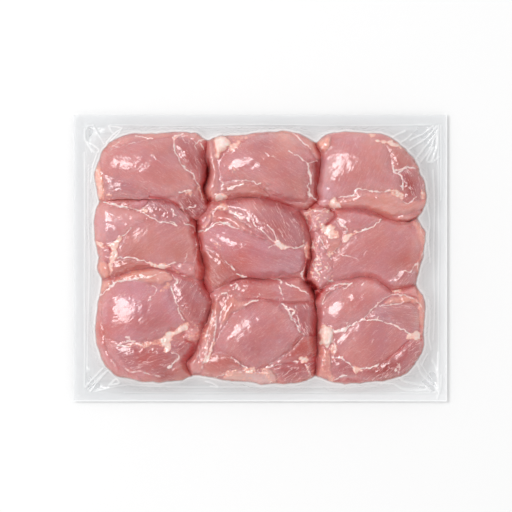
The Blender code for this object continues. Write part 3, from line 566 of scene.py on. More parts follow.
# Pads of cream fat: outline on the plan, how white, and how far it is broken into shreds
FATS = {"a1": [
    ([(172, 137.5), (177, 135.5), (180, 136), (177, 139), (175, 143)], 0.6, 0.5),
    ([(184, 191), (189, 190), (194, 191.5), (191, 195.5), (188, 194)], 0.8, 0.4),
    ([(197, 188), (200, 187), (203, 193), (205, 200), (202, 199), (199, 193)], 0.6, 0.4),
    ([(94.6, 172), (99, 168), (103, 180), (104, 192), (100, 199), (95.5, 195)], 0.7, 0.2),
    ([(104, 194), (110, 193), (113, 197), (109, 201), (104, 200)], 0.5, 0.7),
], "a2": [
    ([(215, 137), (222, 136.5), (228, 139), (230, 144), (225, 149), (221, 154), (219, 160), (216, 158),
     (215, 151), (214, 143)], 0.97, 0.05),
    ([(229, 148), (233, 144), (238, 142), (241, 143), (236, 149), (231, 151)], 0.85, 0.25),
    ([(215, 196), (220, 193), (226, 195), (228, 198), (223, 202), (217, 201.5)], 0.97, 0.1),
    ([(222, 163), (228, 163), (236, 168), (240, 175), (232, 178), (224, 174)], 0.5, 1.0),
    ([(228, 136), (240, 135), (262, 133.5), (246, 139), (238, 143), (230, 141)], 0.3, 0.3),
], "a3": [
    ([(376, 141), (382, 140.5), (392, 141), (399, 145), (404, 151), (396, 148), (388, 145), (381, 143.5)],
     0.95, 0.1), ([(330, 200), (335, 199), (339, 204), (341, 208.5), (333, 208.5), (329, 205)], 0.85, 0.05),
    ([(387, 191), (393, 190.5), (401, 192.5), (403.5, 197), (401, 200), (395, 195.5)], 0.9, 0.3),
    ([(419, 191), (423, 190), (426, 196), (422, 199)], 0.75, 0.3),
    ([(369, 133.5), (375, 135), (372, 137.5)], 0.7, 0.2),
    ([(317, 142), (324, 139), (330, 137), (329, 146), (323, 150)], 0.4, 0.2),
], "b1": [
    ([(97, 241), (102, 243), (107, 245), (112, 243), (119, 238), (123, 235), (121, 241), (117, 250),
     (118, 256), (114, 264), (111, 275), (109, 266), (112, 252), (109, 247), (103, 248), (97, 245)],
     0.9, 0.15), ([(150, 262), (158, 264), (166, 264), (171, 266), (166, 269), (157, 268)], 0.95, 0.1),
    ([(139, 210), (144, 208), (149, 210), (145, 213.5)], 0.8, 0.5),
    ([(172, 270), (180, 272), (189, 276), (180, 279), (173, 276)], 0.5, 0.9),
    ([(177, 262), (188, 265), (190, 272), (180, 270)], 0.4, 1.0),
    ([(99, 250), (107, 249), (109, 257), (103, 261)], 0.35, 1.0),
], "b2": [
    ([(276, 243), (280, 241.5), (284, 244.5), (289, 247.5), (283, 249.5), (278, 246)], 0.95, 0.1),
    ([(216, 209), (221, 204), (227, 206), (227, 211), (221, 210.5)], 0.7, 0.3),
    ([(214, 244), (218, 243), (221, 247), (218, 250), (215, 248)], 0.5, 0.5),
    ([(206, 218), (213, 209), (215, 213), (211, 222), (206, 227), (201, 230)], 0.45, 0.7),
    ([(304, 248), (308, 242), (311, 253), (308, 260), (305, 257)], 0.5, 0.3),
    ([(300, 220), (303, 224), (306, 240), (303, 246), (302, 232)], 0.4, 0.5),
], "b3": [
    ([(320, 227), (326, 224.5), (333, 226), (336, 231), (340, 237), (334, 239), (327, 237)], 0.8, 0.2),
    ([(342, 243), (345, 234), (352, 233), (359, 231.5), (350, 238), (346, 242)], 0.97, 0.1),
    ([(302, 212), (316, 208), (329, 208), (328, 213), (314, 213), (304, 217)], 1.0, 0.9),
    ([(305, 218), (320, 214), (328, 220), (318, 229), (310, 228)], 0.9, 1.0),
    ([(311, 243), (317, 236), (322, 247), (319, 257), (312, 254)], 0.9, 1.0),
    ([(312, 256), (322, 254), (328, 264), (324, 276), (313, 272)], 1.0, 0.97),
    ([(310, 272), (320, 274), (328, 272), (332, 279), (320, 287), (311, 285)], 0.9, 1.0),
    ([(327, 252), (332, 251), (333, 255), (329, 257)], 0.85, 0.5),
    ([(318, 238), (324, 238), (328, 248), (324, 252)], 0.8, 1.0),
], "c1": [
    ([(128, 344), (142, 342.5), (152, 341), (160, 338), (163, 343), (152, 346), (140, 346)], 0.75, 0.55),
    ([(161, 340), (168, 333), (176, 330), (183, 325), (188, 323), (188, 328), (181, 333), (174, 336),
     (171, 341), (170, 348), (167, 351), (164, 346)], 0.95, 0.08),
    ([(179, 338), (188, 335), (197, 332), (201, 336), (196, 341), (186, 340)], 0.6, 0.6),
    ([(188, 325), (197, 321), (201, 327), (195, 331)], 0.5, 0.8),
    ([(118, 284), (140, 282), (152, 287), (146, 300), (126, 306), (113, 298)], 0.16, 0.9),
    ([(160, 291), (165, 286), (171, 281), (170, 288), (164, 291)], 0.45, 0.2),
    ([(97, 284), (104, 281), (110, 287), (101, 295)], 0.35, 0.4),
], "c2": [
    ([(224, 380), (228, 371), (240, 368.5), (258, 370), (271, 368.5), (277, 377), (273, 384), (250, 384)],
     0.3, 0.8), ([(299, 358.5), (304, 357), (308, 359), (303, 362.5)], 0.9, 0.3),
    ([(212, 342), (215, 342), (213, 351), (208, 360), (203, 367), (204, 360), (209, 352)], 0.85, 0.3),
    ([(204, 322), (212, 312), (214, 320), (210, 334), (204, 344), (201, 350)], 0.55, 0.8),
    ([(307, 366), (312, 368), (314, 374), (309, 379), (306, 373)], 0.5, 0.6),
    ([(240, 368), (250, 366.5), (258, 369), (248, 372)], 0.8, 0.3),
    ([(262, 369), (268, 370), (272, 375), (276, 380), (270, 384), (266, 377)], 0.9, 0.7),
    ([(222, 373), (228, 370), (236, 369), (232, 373), (226, 378)], 0.8, 0.6),
], "c3": [
    ([(320.5, 329), (326, 325), (332, 331), (333, 341), (327, 346.5), (320, 342)], 0.95, 0.05),
    ([(330, 341), (335, 345), (337, 351), (333, 354), (330, 347)], 0.6, 0.3),
    ([(407, 334), (412, 332), (419, 333), (420, 338.5), (413, 339.5), (407, 338.5)], 0.93, 0.15),
    ([(352, 368), (357, 367), (361, 368.5), (357, 372), (356, 375.5), (353, 371)], 0.9, 0.1),
    ([(392, 288), (396, 287), (400, 290), (394, 292)], 0.8, 0.3),
    ([(319, 346), (327, 348), (330, 358), (330, 374), (322, 376)], 0.3, 0.5),
    ([(327, 376), (332, 376), (334, 382), (328, 381)], 0.6, 0.3),
    ([(417, 303), (422, 308), (425, 318), (422, 332), (420, 322)], 0.4, 0.5),
    ([(386, 370), (397, 368), (394, 378), (388, 377)], 0.15, 0.8),
]}

# Deep places, sunk into the meat and given painted shade: path on the plan, width in millimetres and strength
# of both
PITS = {"a1": [
    ([(150, 197), (168, 200), (180, 206.5)], 1.6, 0.6), ([(190, 215.5), (192, 218.5)], 2.0, 0.3),
    ([(209, 198), (207, 204)], 2.4, 0.9), ([(207, 159), (208, 166), (206.5, 174)], 1.8, 0.8),
], "a2": [
    ([(316, 145), (318, 151), (321, 156)], 3.0, 0.5), ([(208, 159), (209, 166), (208, 174)], 1.4, 0.8),
    ([(210, 198), (210, 203)], 2.0, 0.8), ([(228, 201), (224, 200)], 2.0, 0.6),
    ([(262, 197.5), (276, 201), (292, 207)], 2.2, 0.5),
], "a3": [
    ([(399, 221), (408, 222)], 1.5, 0.4),
], "b1": [
    ([(191, 217), (192, 220)], 2.0, 0.3), ([(198.5, 238), (199.5, 244), (200, 249)], 1.8, 0.6),
    ([(104, 246), (109, 247.5), (111, 250)], 1.6, 0.6), ([(173, 267), (176, 270), (174, 273)], 2.0, 0.45),
    ([(180, 274), (186, 275)], 2.2, 0.5), ([(108, 262), (110, 270), (110, 278)], 1.8, 0.4),
], "b2": [
    ([(209, 203), (207, 207)], 2.2, 0.9), ([(199.5, 238), (201, 244), (201.5, 249)], 1.6, 0.6),
    ([(307, 260), (306, 268), (306, 276)], 3.4, 1.0),
], "b3": [
    ([(311, 283), (316, 289), (318, 297)], 4.5, 1.0),
    ([(330, 210), (334, 212), (335, 216), (331, 221), (326, 225)], 2.4, 0.9),
], "c1": [
    ([(203, 284), (207, 291), (212, 300)], 4.5, 0.4), ([(193, 344), (190, 352), (183, 361)], 4.0, 0.6),
    ([(186, 340), (192, 342)], 2.2, 0.6), ([(181, 333), (184, 334)], 2.6, 0.45),
], "c2": [
    ([(313, 290), (317, 299), (317, 309)], 6.5, 1.0),
    ([(243, 299), (262, 299), (283, 302.5), (308, 302)], 1.6, 0.45), ([(306, 335.5), (316, 335)], 1.5, 0.4),
    ([(275, 367), (285, 363.5), (294, 362)], 1.3, 0.5),
], "c3": [
    ([(408, 341), (402, 346), (396, 352), (386, 359)], 1.8, 0.55), ([(316, 296), (321, 290)], 5.0, 1.0),
    ([(420, 336), (420.5, 340)], 1.4, 0.6), ([(388, 288), (393, 293)], 1.6, 0.5),
]}

# Soft patches of another tint: middle on the plan, its size there, strength and colour
# Some patches paint light and shade: wine at the lower and right sides of pieces and beside deep creases is
# partly painted shade, and blush along the tops of b2 and c3 and pearl at a3's left edge are partly painted
# light, on the lit sides of creases
TINTS = {"a1": [
    ((190, 204), 10, 0.9, "wine"), ((200, 165), 8, 0.5, "wine"), ((178, 185), 16, 0.6, "salmon"),
    ((135, 165), 22, 0.4, "mauve"), ((160, 150), 18, 0.4, "brick"),
], "a2": [
    ((284, 140), 16, 0.9, "apricot"), ((245, 191), 10, 0.8, "salmon"), ((288, 201), 9, 0.4, "wine"),
    ((262, 144), 16, 0.9, "dusk"), ((295, 187), 16, 0.7, "brick"), ((268, 172), 16, 0.4, "salmon"),
], "a3": [
    ((372, 138), 16, 0.7, "salmon"), ((322, 172), 11, 0.95, "pearl_painted_light"), ((324, 192), 9, 0.8, "pearl_painted_light"),
    ((409, 187), 9, 0.8, "wine"), ((390, 205), 16, 0.7, "apricot"), ((352, 150), 20, 0.4, "mauve"),
    ((340, 190), 14, 0.5, "mauve"), ((375, 175), 18, 0.5, "salmon"),
], "b1": [
    ((165, 212), 13, 0.9, "dusk"), ((125, 203), 9, 0.5, "brick"), ((160, 236), 18, 0.3, "rose"),
    ((135, 252), 12, 0.5, "brick"), ((180, 250), 14, 0.5, "brick"), ((110, 232), 12, 0.5, "lilac"),
], "b2": [
    ((250, 203), 14, 0.9, "blush"), ((240, 262), 18, 0.95, "coral"), ((222, 217), 8, 0.9, "coral"),
    ((288, 260), 18, 0.7, "lilac"), ((255, 238), 16, 0.5, "mauve"), ((285, 225), 14, 0.4, "dusk"),
], "b3": [
    ((419, 240), 7, 0.8, "peach"), ((404, 262), 14, 0.8, "brick"), ((405, 262), 8, 0.5, "coral"),
    ((330, 245), 7, 0.15, "coral"), ((362, 255), 14, 0.4, "mauve"), ((385, 232), 14, 0.4, "salmon"),
], "c1": [
    ((166, 378), 12, 1.0, "wine"), ((148, 316), 14, 0.4, "dusk"), ((103, 330), 9, 0.95, "coral"),
    ((150, 325), 18, 0.6, "dusk"), ((160, 300), 16, 0.5, "mauve"), ((120, 320), 14, 0.5, "coral"),
    ((147, 360), 14, 0.4, "coral"),
], "c2": [
    ((292, 373), 10, 0.5, "wine"), ((250, 352), 16, 0.95, "dusk"), ((250, 287), 14, 0.7, "coral"),
    ((298, 351), 14, 1.0, "coral"), ((302, 352), 10, 0.3, "wine"), ((228, 306), 9, 0.7, "coral"),
    ((218, 364), 10, 0.5, "coral"), ((255, 315), 14, 0.5, "dusk"), ((262, 318), 18, 0.5, "mauve"),
    ((280, 345), 14, 0.5, "lilac"),
], "c3": [
    ((385, 372), 14, 1.0, "wine"), ((370, 340), 12, 0.2, "dusk"), ((355, 303), 10, 0.4, "coral"),
    ((372, 285), 12, 0.9, "blush"), ((422, 318), 7, 0.8, "peach"), ((350, 312), 12, 0.5, "salmon"),
    ((385, 335), 16, 0.4, "lilac"), ((352, 345), 14, 0.5, "salmon"),
]}

# Patches broken up into small lumps and hollows: outline on the plan and strength
ROUGHS = {"a1": [
    ([(104, 192), (116, 188), (130, 192), (150, 197), (130, 201), (105, 201)], 0.4),
    ([(100, 150), (112, 142), (130, 137), (124, 146), (108, 154)], 0.5),
], "a2": [
    ([(211, 138), (230, 138), (240, 141), (236, 152), (216, 158)], 0.35),
    ([(205, 190), (216, 186), (226, 193), (226, 202), (210, 202)], 0.5),
], "a3": [
    ([(318, 142), (330, 138), (330, 150), (320, 156)], 0.4),
    ([(390, 190), (410, 190), (410, 203), (395, 200)], 0.3),
], "b1": [
    ([(142, 206), (158, 199), (180, 206), (191, 217), (186, 225), (160, 221), (148, 214)], 0.5),
    ([(168, 264), (184, 262), (196, 268), (193, 279), (172, 276)], 0.6),
    ([(96, 246), (108, 246), (110, 262), (98, 262)], 0.6),
], "b2": [
    ([(199, 231), (206, 216), (216, 206), (226, 205), (214, 218), (206, 232)], 0.6),
], "b3": [
    ([(302, 210), (328, 207), (330, 222), (312, 232), (304, 224)], 0.9),
    ([(308, 240), (320, 232), (331, 252), (333, 272), (326, 284), (310, 288), (307, 262)], 0.9),
], "c1": [
    ([(118, 341), (150, 341), (172, 332), (190, 324), (190, 334), (170, 352), (140, 349)], 0.6),
    ([(180, 328), (203, 320), (203, 340), (184, 342)], 0.8),
    ([(96, 284), (110, 279), (108, 292), (98, 298)], 0.5),
], "c2": [
    ([(206, 312), (216, 302), (222, 316), (214, 345), (204, 370), (196, 370), (200, 345)], 0.6),
    ([(212, 302), (222, 290), (240, 281), (252, 282), (236, 296), (222, 300)], 0.6),
    ([(224, 372), (245, 368), (270, 369), (276, 380), (250, 385), (228, 381)], 0.3),
    ([(292, 360), (312, 362), (314, 378), (300, 382)], 0.6),
], "c3": [
    ([(318, 324), (334, 326), (334, 350), (320, 352)], 0.4),
    ([(318, 350), (332, 352), (332, 380), (317, 376)], 0.5),
    ([(384, 296), (416, 290), (418, 303), (388, 304)], 0.4),
]}

# Sharp folds of the film: path on the plan, height and width in millimetres
FOLDS = [
    ([(86, 129), (88, 126), (93, 125)], 0.6, 1.0), ([(85, 129), (85, 138), (87, 143), (92, 152)], 0.9, 1.2),
    ([(93, 125), (97, 132), (104, 144)], 0.7, 1.1),
    ([(87, 142), (93, 145), (99, 150), (96, 153), (91, 149), (87, 142)], 0.9, 1.4),
    ([(109, 126), (121, 128), (114, 134), (107, 142)], 0.9, 1.2),
    ([(109, 126), (111, 131), (115, 134)], 0.8, 1.3), ([(122, 128), (118, 134), (111, 141)], 0.8, 1.1),
    ([(97, 154), (93, 166), (91, 182)], 0.7, 1.2),
    ([(110, 124.8), (180, 125.4), (260, 124.5), (340, 125.3), (430, 124.8)], 0.5, 0.8),
    ([(160, 128), (230, 127.2), (300, 127.8)], 0.4, 0.9), ([(437, 126), (426, 138), (409, 149)], 1.0, 1.2),
    ([(433, 126), (424, 133), (410, 140)], 1.1, 1.2), ([(438, 130), (429, 142), (416, 158)], 1.0, 1.2),
    ([(435, 136), (430, 149), (420, 162)], 1.0, 1.2),
    ([(437, 133), (437, 145), (432, 160), (427, 160), (433, 148)], 1.0, 1.4),
    ([(405, 131), (398, 134), (392, 137)], 0.9, 1.5), ([(412, 134), (406, 139), (401, 142)], 0.8, 1.3),
    ([(438.6, 125), (438.2, 180), (438.8, 240), (438.4, 300), (438.4, 352)], 0.6, 0.8),
    ([(441, 125), (441.2, 150), (440.8, 200)], 0.5, 0.8),
    ([(433, 170), (434.5, 210), (433.5, 250), (434.5, 300), (433, 340)], 0.5, 1.1),
    ([(438.6, 157), (435, 160), (431, 162.5)], 0.7, 1.2),
    ([(84.5, 152), (84.8, 220), (84.4, 290), (84.8, 386)], 0.55, 0.8),
    ([(88.5, 165), (88, 215), (89.5, 262), (88, 320), (87, 372)], 0.45, 1.1),
    ([(85.5, 387), (94, 377.5), (103, 368)], 1.0, 1.2), ([(88, 389), (97, 380), (106, 371)], 0.8, 1.0),
    ([(90.6, 391), (99, 380), (108, 370)], 0.9, 1.1),
    ([(109.5, 385), (116, 379), (119, 383), (109.5, 385)], 1.1, 1.6),
    ([(96, 391), (124, 385), (150, 386), (200, 387), (260, 386.5), (330, 387), (375, 386)], 0.5, 1.0),
    ([(124, 392.5), (200, 393), (290, 392.6), (380, 393), (436, 392.6)], 0.5, 0.8),
    ([(205, 381), (212, 383), (218, 387), (210, 386)], 0.8, 1.2),
    ([(438.4, 352), (438.2, 372), (438.8, 392)], 1.1, 1.5),
    ([(441, 375), (440.6, 388), (437, 399)], 0.6, 1.1),
    ([(417, 364), (422, 374), (435, 387), (439, 392)], 1.3, 1.4),
    ([(420, 363), (427, 373), (438, 386)], 0.9, 1.0),
    ([(399, 377), (404, 381), (420, 385), (426, 386), (430, 391)], 1.1, 1.4),
    ([(380, 383), (393, 384), (406, 390), (428, 390)], 1.0, 1.3),
    ([(432, 360), (436, 367), (437.5, 376)], 0.9, 1.3), ([(427, 354), (424, 359), (422, 364)], 0.8, 1.2),
    ([(428, 300), (429.5, 318), (428.5, 336), (431, 350)], 0.6, 1.2),
    ([(427, 205), (429.5, 222), (428, 240), (430, 262)], 0.6, 1.2),
]


def smooth_curve(points, closed=False):
    """A Catmull-Rom curve through the points; an open one keeps its last point."""
    points = np.asarray(points, float)
    if closed:
        padded = np.vstack([points[-1:], points, points[:2]])
    else:
        padded = np.vstack([2 * points[0] - points[1], points, 2 * points[-1] - points[-2]])
    t = (np.arange(CURVE_STEPS) / CURVE_STEPS)[:, None]
    runs = []
    for before, start, end, after in zip(padded, padded[1:], padded[2:], padded[3:]):
        squared = 2 * before - 5 * start + 4 * end - after
        cubed = 3 * start - before - 3 * end + after
        runs.append(0.5 * (2 * start + (end - before) * t + squared * t ** 2 + cubed * t ** 3))
    if not closed:
        runs.append(points[-1:])
    return np.vstack(runs)


def wobbled(points):
    """Points on the pack moved a little, the same way wherever they are the same."""
    x, y = points[:, 0], points[:, 1]
    shift_x = 1.0 * lumps(x, y, 7 * MM, 61) + 0.45 * lumps(x, y, 2.6 * MM, 62)
    shift_y = 1.0 * lumps(x, y, 7 * MM, 63) + 0.45 * lumps(x, y, 2.6 * MM, 64)
    return points + MM * np.stack([shift_x, shift_y], axis=1)


def edge_path(name):
    """A crease or outer edge as a slightly uneven curve on the pack."""
    start, bends, end = EDGES[name]
    return wobbled(smooth_curve(plan([CORNERS[start], *bends, CORNERS[end]])))


def piece_outline(edge_names):
    """The closed outline of a piece: its edges chained head to tail."""
    first_ends = {EDGES[edge_names[0]][0], EDGES[edge_names[0]][2]}
    second_ends = {EDGES[edge_names[1]][0], EDGES[edge_names[1]][2]}
    corner = (first_ends - second_ends).pop()
    outline = []
    for name in edge_names:
        start, _, end = EDGES[name]
        path = edge_path(name)
        if corner != start:
            path = path[::-1]
        outline.append(path[:-1])
        corner = end if corner == start else start
    return np.vstack(outline)


def middle_and_half(outline):
    """The middle of the box round an outline, and half the box's sides."""
    low, high = outline.min(0), outline.max(0)
    return (high + low) / 2, (high - low) / 2


def near(x, y, points, margin):
    """Which places lie within the margin of the box round the points."""
    (left, front), (right, back) = points.min(0) - margin, points.max(0) + margin
    return (x > left) & (x < right) & (y > front) & (y < back)


def squared_distance(x, y, start, end):
    """The square of each place's distance from one straight run."""
    (ax, ay), (bx, by) = start, end
    run, rise = bx - ax, by - ay
    along = np.clip(((x - ax) * run + (y - ay) * rise) / (run * run + rise * rise + TINY), 0, 1)
    return (x - ax - along * run) ** 2 + (y - ay - along * rise) ** 2


def line_distance(x, y, starts, ends):
    """The distance of each place from the nearest of the straight runs."""
    nearest = np.full(x.shape, np.inf)
    for start, end in zip(starts, ends):
        nearest = np.minimum(nearest, squared_distance(x, y, start, end))
    return np.sqrt(nearest)


def depth_inside(x, y, outline):
    """How far each place lies inside the closed outline; negative outside it.

    Away from the outline every side counts, not only the nearest, so no ridge runs down the middle.
    """
    inside = np.zeros(x.shape, bool)
    nearest = np.full(x.shape, np.inf)
    crowding = np.zeros(x.shape)
    for (ax, ay), (bx, by) in zip(outline, np.roll(outline, -1, axis=0)):
        run, rise = bx - ax, by - ay
        if rise != 0:
            crosses = (ay > y) != (by > y)
            inside ^= crosses & (x < ax + (y - ay) * run / rise)
        squared = squared_distance(x, y, (ax, ay), (bx, by)) + LEAST_SQUARE
        nearest = np.minimum(nearest, squared)
        crowding += np.hypot(run, rise) / squared ** 2
    distance = np.sqrt(nearest)
    rounded = (2 / np.pi * crowding) ** (-1 / 3)
    rounded = distance + smooth_step(distance, 0.5 * MM, 2.5 * MM) * (rounded - distance)
    return np.where(inside, rounded, -distance)


def near_depth(x, y, outline, margin):
    """depth_inside, worked out only near the outline; -margin elsewhere."""
    depth = np.full(x.shape, -margin)
    close = near(x, y, outline, margin)
    depth[close] = depth_inside(x[close], y[close], outline)
    return depth


def near_distance(x, y, path, margin):
    """The distance from an open path, worked out only near it; margin elsewhere."""
    distance = np.full(x.shape, margin)
    close = near(x, y, path, margin)
    distance[close] = line_distance(x[close], y[close], path[:-1], path[1:])
    return distance


def depth_in_patch(x, y, outline):
    """near_depth for a patch whose outline is given on the plan."""
    return near_depth(x, y, smooth_curve(plan(outline), closed=True), PATCH_MARGIN)


def swell(depth, radius):
    """A quarter-round section: 0 at the outline, 1 from one radius inside it."""
    return np.sqrt(1 - (1 - np.clip(depth / radius, 0, 1)) ** 2)


def smooth_step(value, low, high):
    """The value's place between low and high, 0 to 1, with eased ends; low may be the higher one."""
    t = np.clip((value - low) / (high - low), 0, 1)
    return t * t * (3 - 2 * t)


def lumps(x, y, cell, seed):
    """Soft noise from -1 to 1: random values on a grid of cells, joined smoothly."""
    rng = np.random.default_rng(seed)
    table = rng.uniform(-1, 1, (NOISE_CELLS, NOISE_CELLS))
    u, v = x / cell, y / cell
    column, row = np.floor(u).astype(int), np.floor(v).astype(int)
    s, t = u - column, v - row
    s, t = s * s * (3 - 2 * s), t * t * (3 - 2 * t)

    def along_row(row):
        left = table[row % NOISE_CELLS, column % NOISE_CELLS]
        right = table[row % NOISE_CELLS, (column + 1) % NOISE_CELLS]
        return left * (1 - s) + right * s

    return along_row(row) * (1 - t) + along_row(row + 1) * t


def toward(colour, other, share):
    """The colours moved toward another one by each place's share."""
    return colour + share[:, None] * (other - colour)


def fat_share(x, y, piece):
    """How much cream fat each place shows, 0 to 1, with a soft border."""
    share = np.zeros(x.shape)
    shred = 0.6 * lumps(x, y, 1.9 * MM, 11) + 0.4 * lumps(x, y, 1.0 * MM, 12)
    wander = 1.4 * MM * lumps(x, y, 3.2 * MM, 13) + 0.9 * MM * shred
    for outline, strength, ragged in FATS[piece]:
        depth = depth_in_patch(x, y, outline) + wander
        pad = smooth_step(depth, -1.3 * MM, 1.3 * MM)
        torn = smooth_step(shred, 0.3 + 0.35 * ragged, 0.45 * ragged - 0.3)
        share = np.maximum(share, strength * pad * (1 - ragged * torn))
    return share


def sinew_share(x, y, piece):
    """How much white sinew each place shows, 0 to 1, with a soft border."""
    share = np.zeros(x.shape)
    fray = lumps(x, y, 1.3 * MM, 31)
    wander_x = 0.9 * MM * lumps(x, y, 3.1 * MM, 32) + 0.4 * MM * fray
    wander_y = 0.9 * MM * lumps(x, y, 3.1 * MM, 33) - 0.4 * MM * fray
    thickness = (0.9 + 0.55 * lumps(x, y, 3.6 * MM, 34) + 0.3 * fray).clip(0.3, 2)
    for path, width, strength in SEAMS[piece]:
        distance = near_distance(x + wander_x, y + wander_y, smooth_curve(plan(path)), PATCH_MARGIN)
        half = (0.25 + 0.42 * width) * MM * thickness
        line = strength * np.exp(-(distance / half) ** 2)
        veil = SINEW_VEIL * strength * np.exp(-distance / SINEW_VEIL_WIDTH)
        share = np.maximum(share, np.maximum(line, veil))
    return share


def pit_share(x, y, piece):
    """How deep a pit each place lies in, 0 to 1; the same share sinks the meat and paints shade there."""
    share = np.zeros(x.shape)
    for path, width, strength in PITS[piece]:
        distance = near_distance(x, y, smooth_curve(plan(path)), 2 * PATCH_MARGIN)
        share = np.maximum(share, strength * (1 - smooth_step(distance, 0, width * MM)))
    return share


def rough_share(x, y, piece):
    """How far each place is broken up into small lumps and hollows, 0 to 1."""
    share = np.zeros(x.shape)
    for outline, strength in ROUGHS[piece]:
        depth = depth_in_patch(x, y, outline)
        share = np.maximum(share, strength * smooth_step(depth, -1 * MM, 2 * MM))
    return share


def edge_falls(x, y, edge_names, middle):
    """The fall to each edge of a piece, the painted shade of its creases and the red of it, and the distance
    to its rim.

    The side of a crease that faces the light is narrower and has less painted shade than the side away from
    it.
    """
    crease_shade, crease_shade_red = np.zeros(x.shape), np.zeros(x.shape)
    rim_distance = np.full(x.shape, PACK_WIDTH)
    patchy = np.clip(0.9 + 0.7 * lumps(x, y, 9 * MM, 24) + 0.3 * lumps(x, y, 3 * MM, 28), 0.2, 1.5)
    falls = []
    for name in edge_names:
        path = edge_path(name)
        away = line_distance(x, y, path[:-1], path[1:])
        if name not in CREASE_DROPS:
            falls.append(1 - swell(away + RIM_LIP, SHOULDER_RADIUS))
            rim_distance = np.minimum(rim_distance, away)
            continue
        side = path.mean(0) - middle
        lit = 0.5 - 0.5 * (side @ SHADE_WAY) / np.hypot(*side)
        drop = CREASE_DROPS[name] * (1 + 0.35 * lumps(x, y, 12 * MM, 23))
        fall = (CREASE_FALL_SHADED + (CREASE_FALL_LIT - CREASE_FALL_SHADED) * lit) * (0.5 + 0.8 * drop)
        rounded = np.hypot(away, CREASE_ROUNDING * (1 - drop))
        falls.append(drop * (1 - np.clip(rounded / fall, 0, 1)) ** CREASE_POWER)
        # Painted shade beside the crease, stronger and wider on the side away from the light, and the red
        # that painted shade takes on
        crease_shade_amount = (0.1 + 1.2 * drop ** 1.5) * (1 - 0.4 * lit) * patchy
        reach = (0.9 + 4.5 * drop ** 2.5) * (1 - 0.4 * lit) * MM
        crease_shade = np.maximum(crease_shade, crease_shade_amount * np.exp(-(away / reach) ** 1.3))
        crease_shade_redness = (0.4 + 0.6 * drop) * (1 - 0.5 * lit)
        crease_shade_red = np.maximum(crease_shade_red, crease_shade_redness * np.exp(-away / ((1.5 + 5 * drop) * MM)))
    return falls, np.minimum(crease_shade, 1), crease_shade_red, rim_distance


def muscle_relief(x, y, piece):
    """How high the muscles stand, their colour, grain and stripes, and how far in from their edges."""
    relief, crest = np.zeros(x.shape), np.zeros(x.shape)
    colour = np.tile(COLOURS["rose"], (len(x), 1))
    grain = np.stack([y, x], axis=1) / MM
    stripes = np.full(x.shape, PLAIN_STRIPES)
    wander = 0.9 * MM * lumps(x, y, 5 * MM, 41) + 0.45 * MM * lumps(x, y, 2 * MM, 42)
    for outline, lift, edge, colour_name, angle in MUSCLES[piece]:
        centre, half = middle_and_half(smooth_curve(plan(outline), closed=True))
        inside = depth_in_patch(x, y, outline) + wander
        shaded = (x - centre[0]) * SHADE_WAY[0] + (y - centre[1]) * SHADE_WAY[1]
        shaded = shaded / (half @ np.abs(SHADE_WAY))
        bend = edge * MM * (1 - 0.5 * np.clip(shaded, -1, 1))
        section = MUSCLE_EDGE * swell(inside, bend) ** 2 + MUSCLE_BODY * swell(inside, 3 * bend) ** 2
        dome = MUSCLE_SCALE * lift * MM * section
        top = (dome > relief) & (inside > 0)
        share = smooth_step((dome - relief) / MM, -0.2, 0.9) * smooth_step(inside / MM, -0.6, 2.6)
        colour = toward(colour, COLOURS[colour_name], share)
        relief = np.where(top, dome, relief)
        crest = np.where(top, inside, crest)
        turn = np.radians(angle)
        across = (y * np.cos(turn) - x * np.sin(turn)) / MM
        along = (x * np.cos(turn) + y * np.sin(turn)) / MM
        grain = np.where(top[:, None], np.stack([across + GRAIN_SHIFT * lift, along], axis=1), grain)
        stripes = np.where(top, STRIPES.get(colour_name, PLAIN_STRIPES), stripes)
    return relief, colour, grain, stripes, crest


def tinted(x, y, piece, colour, crease_shade_red, rim_distance):
    """The muscles' colours with the soft patches over them, with painted red shade beside the creases, and
    paler at the rim, partly with painted light.
    """
    for place, size, strength, colour_name in TINTS[piece]:
        centre = plan(place)
        away = np.hypot(x - centre[0], y - centre[1]) / (size * PLAN_SCALE)
        colour = toward(colour, COLOURS[colour_name], strength * np.exp(-away ** 2))
    colour = colour * (1 - crease_shade_red[:, None] * SHADE_RED_LOSS)
    # Paler toward the rim, partly its own paler edge and partly painted light, warmer on the side away from
    # the key light where shade falls
    pale_and_lit = RIM_PALE_AND_LIT * np.exp(-rim_distance / RIM_PALE_AND_LIT_WIDTH) * (1 + 0.6 * lumps(x, y, 5 * MM, 29))
    away_side = smooth_step((x - y) / PACK_LENGTH, 0.0, 0.5)[:, None]
    rim_tint_and_light = COLOURS["peach"] * (1 - away_side) + COLOURS["glow"] * away_side
    colour = toward(colour, rim_tint_and_light, pale_and_lit)
    # Painted light on the last millimetre or so of the rim, whose steep side is in shade
    return toward(colour, COLOURS["rim"], RIM_EDGE_LIGHT * np.exp(-(rim_distance / RIM_EDGE_LIGHT_WIDTH) ** 2))


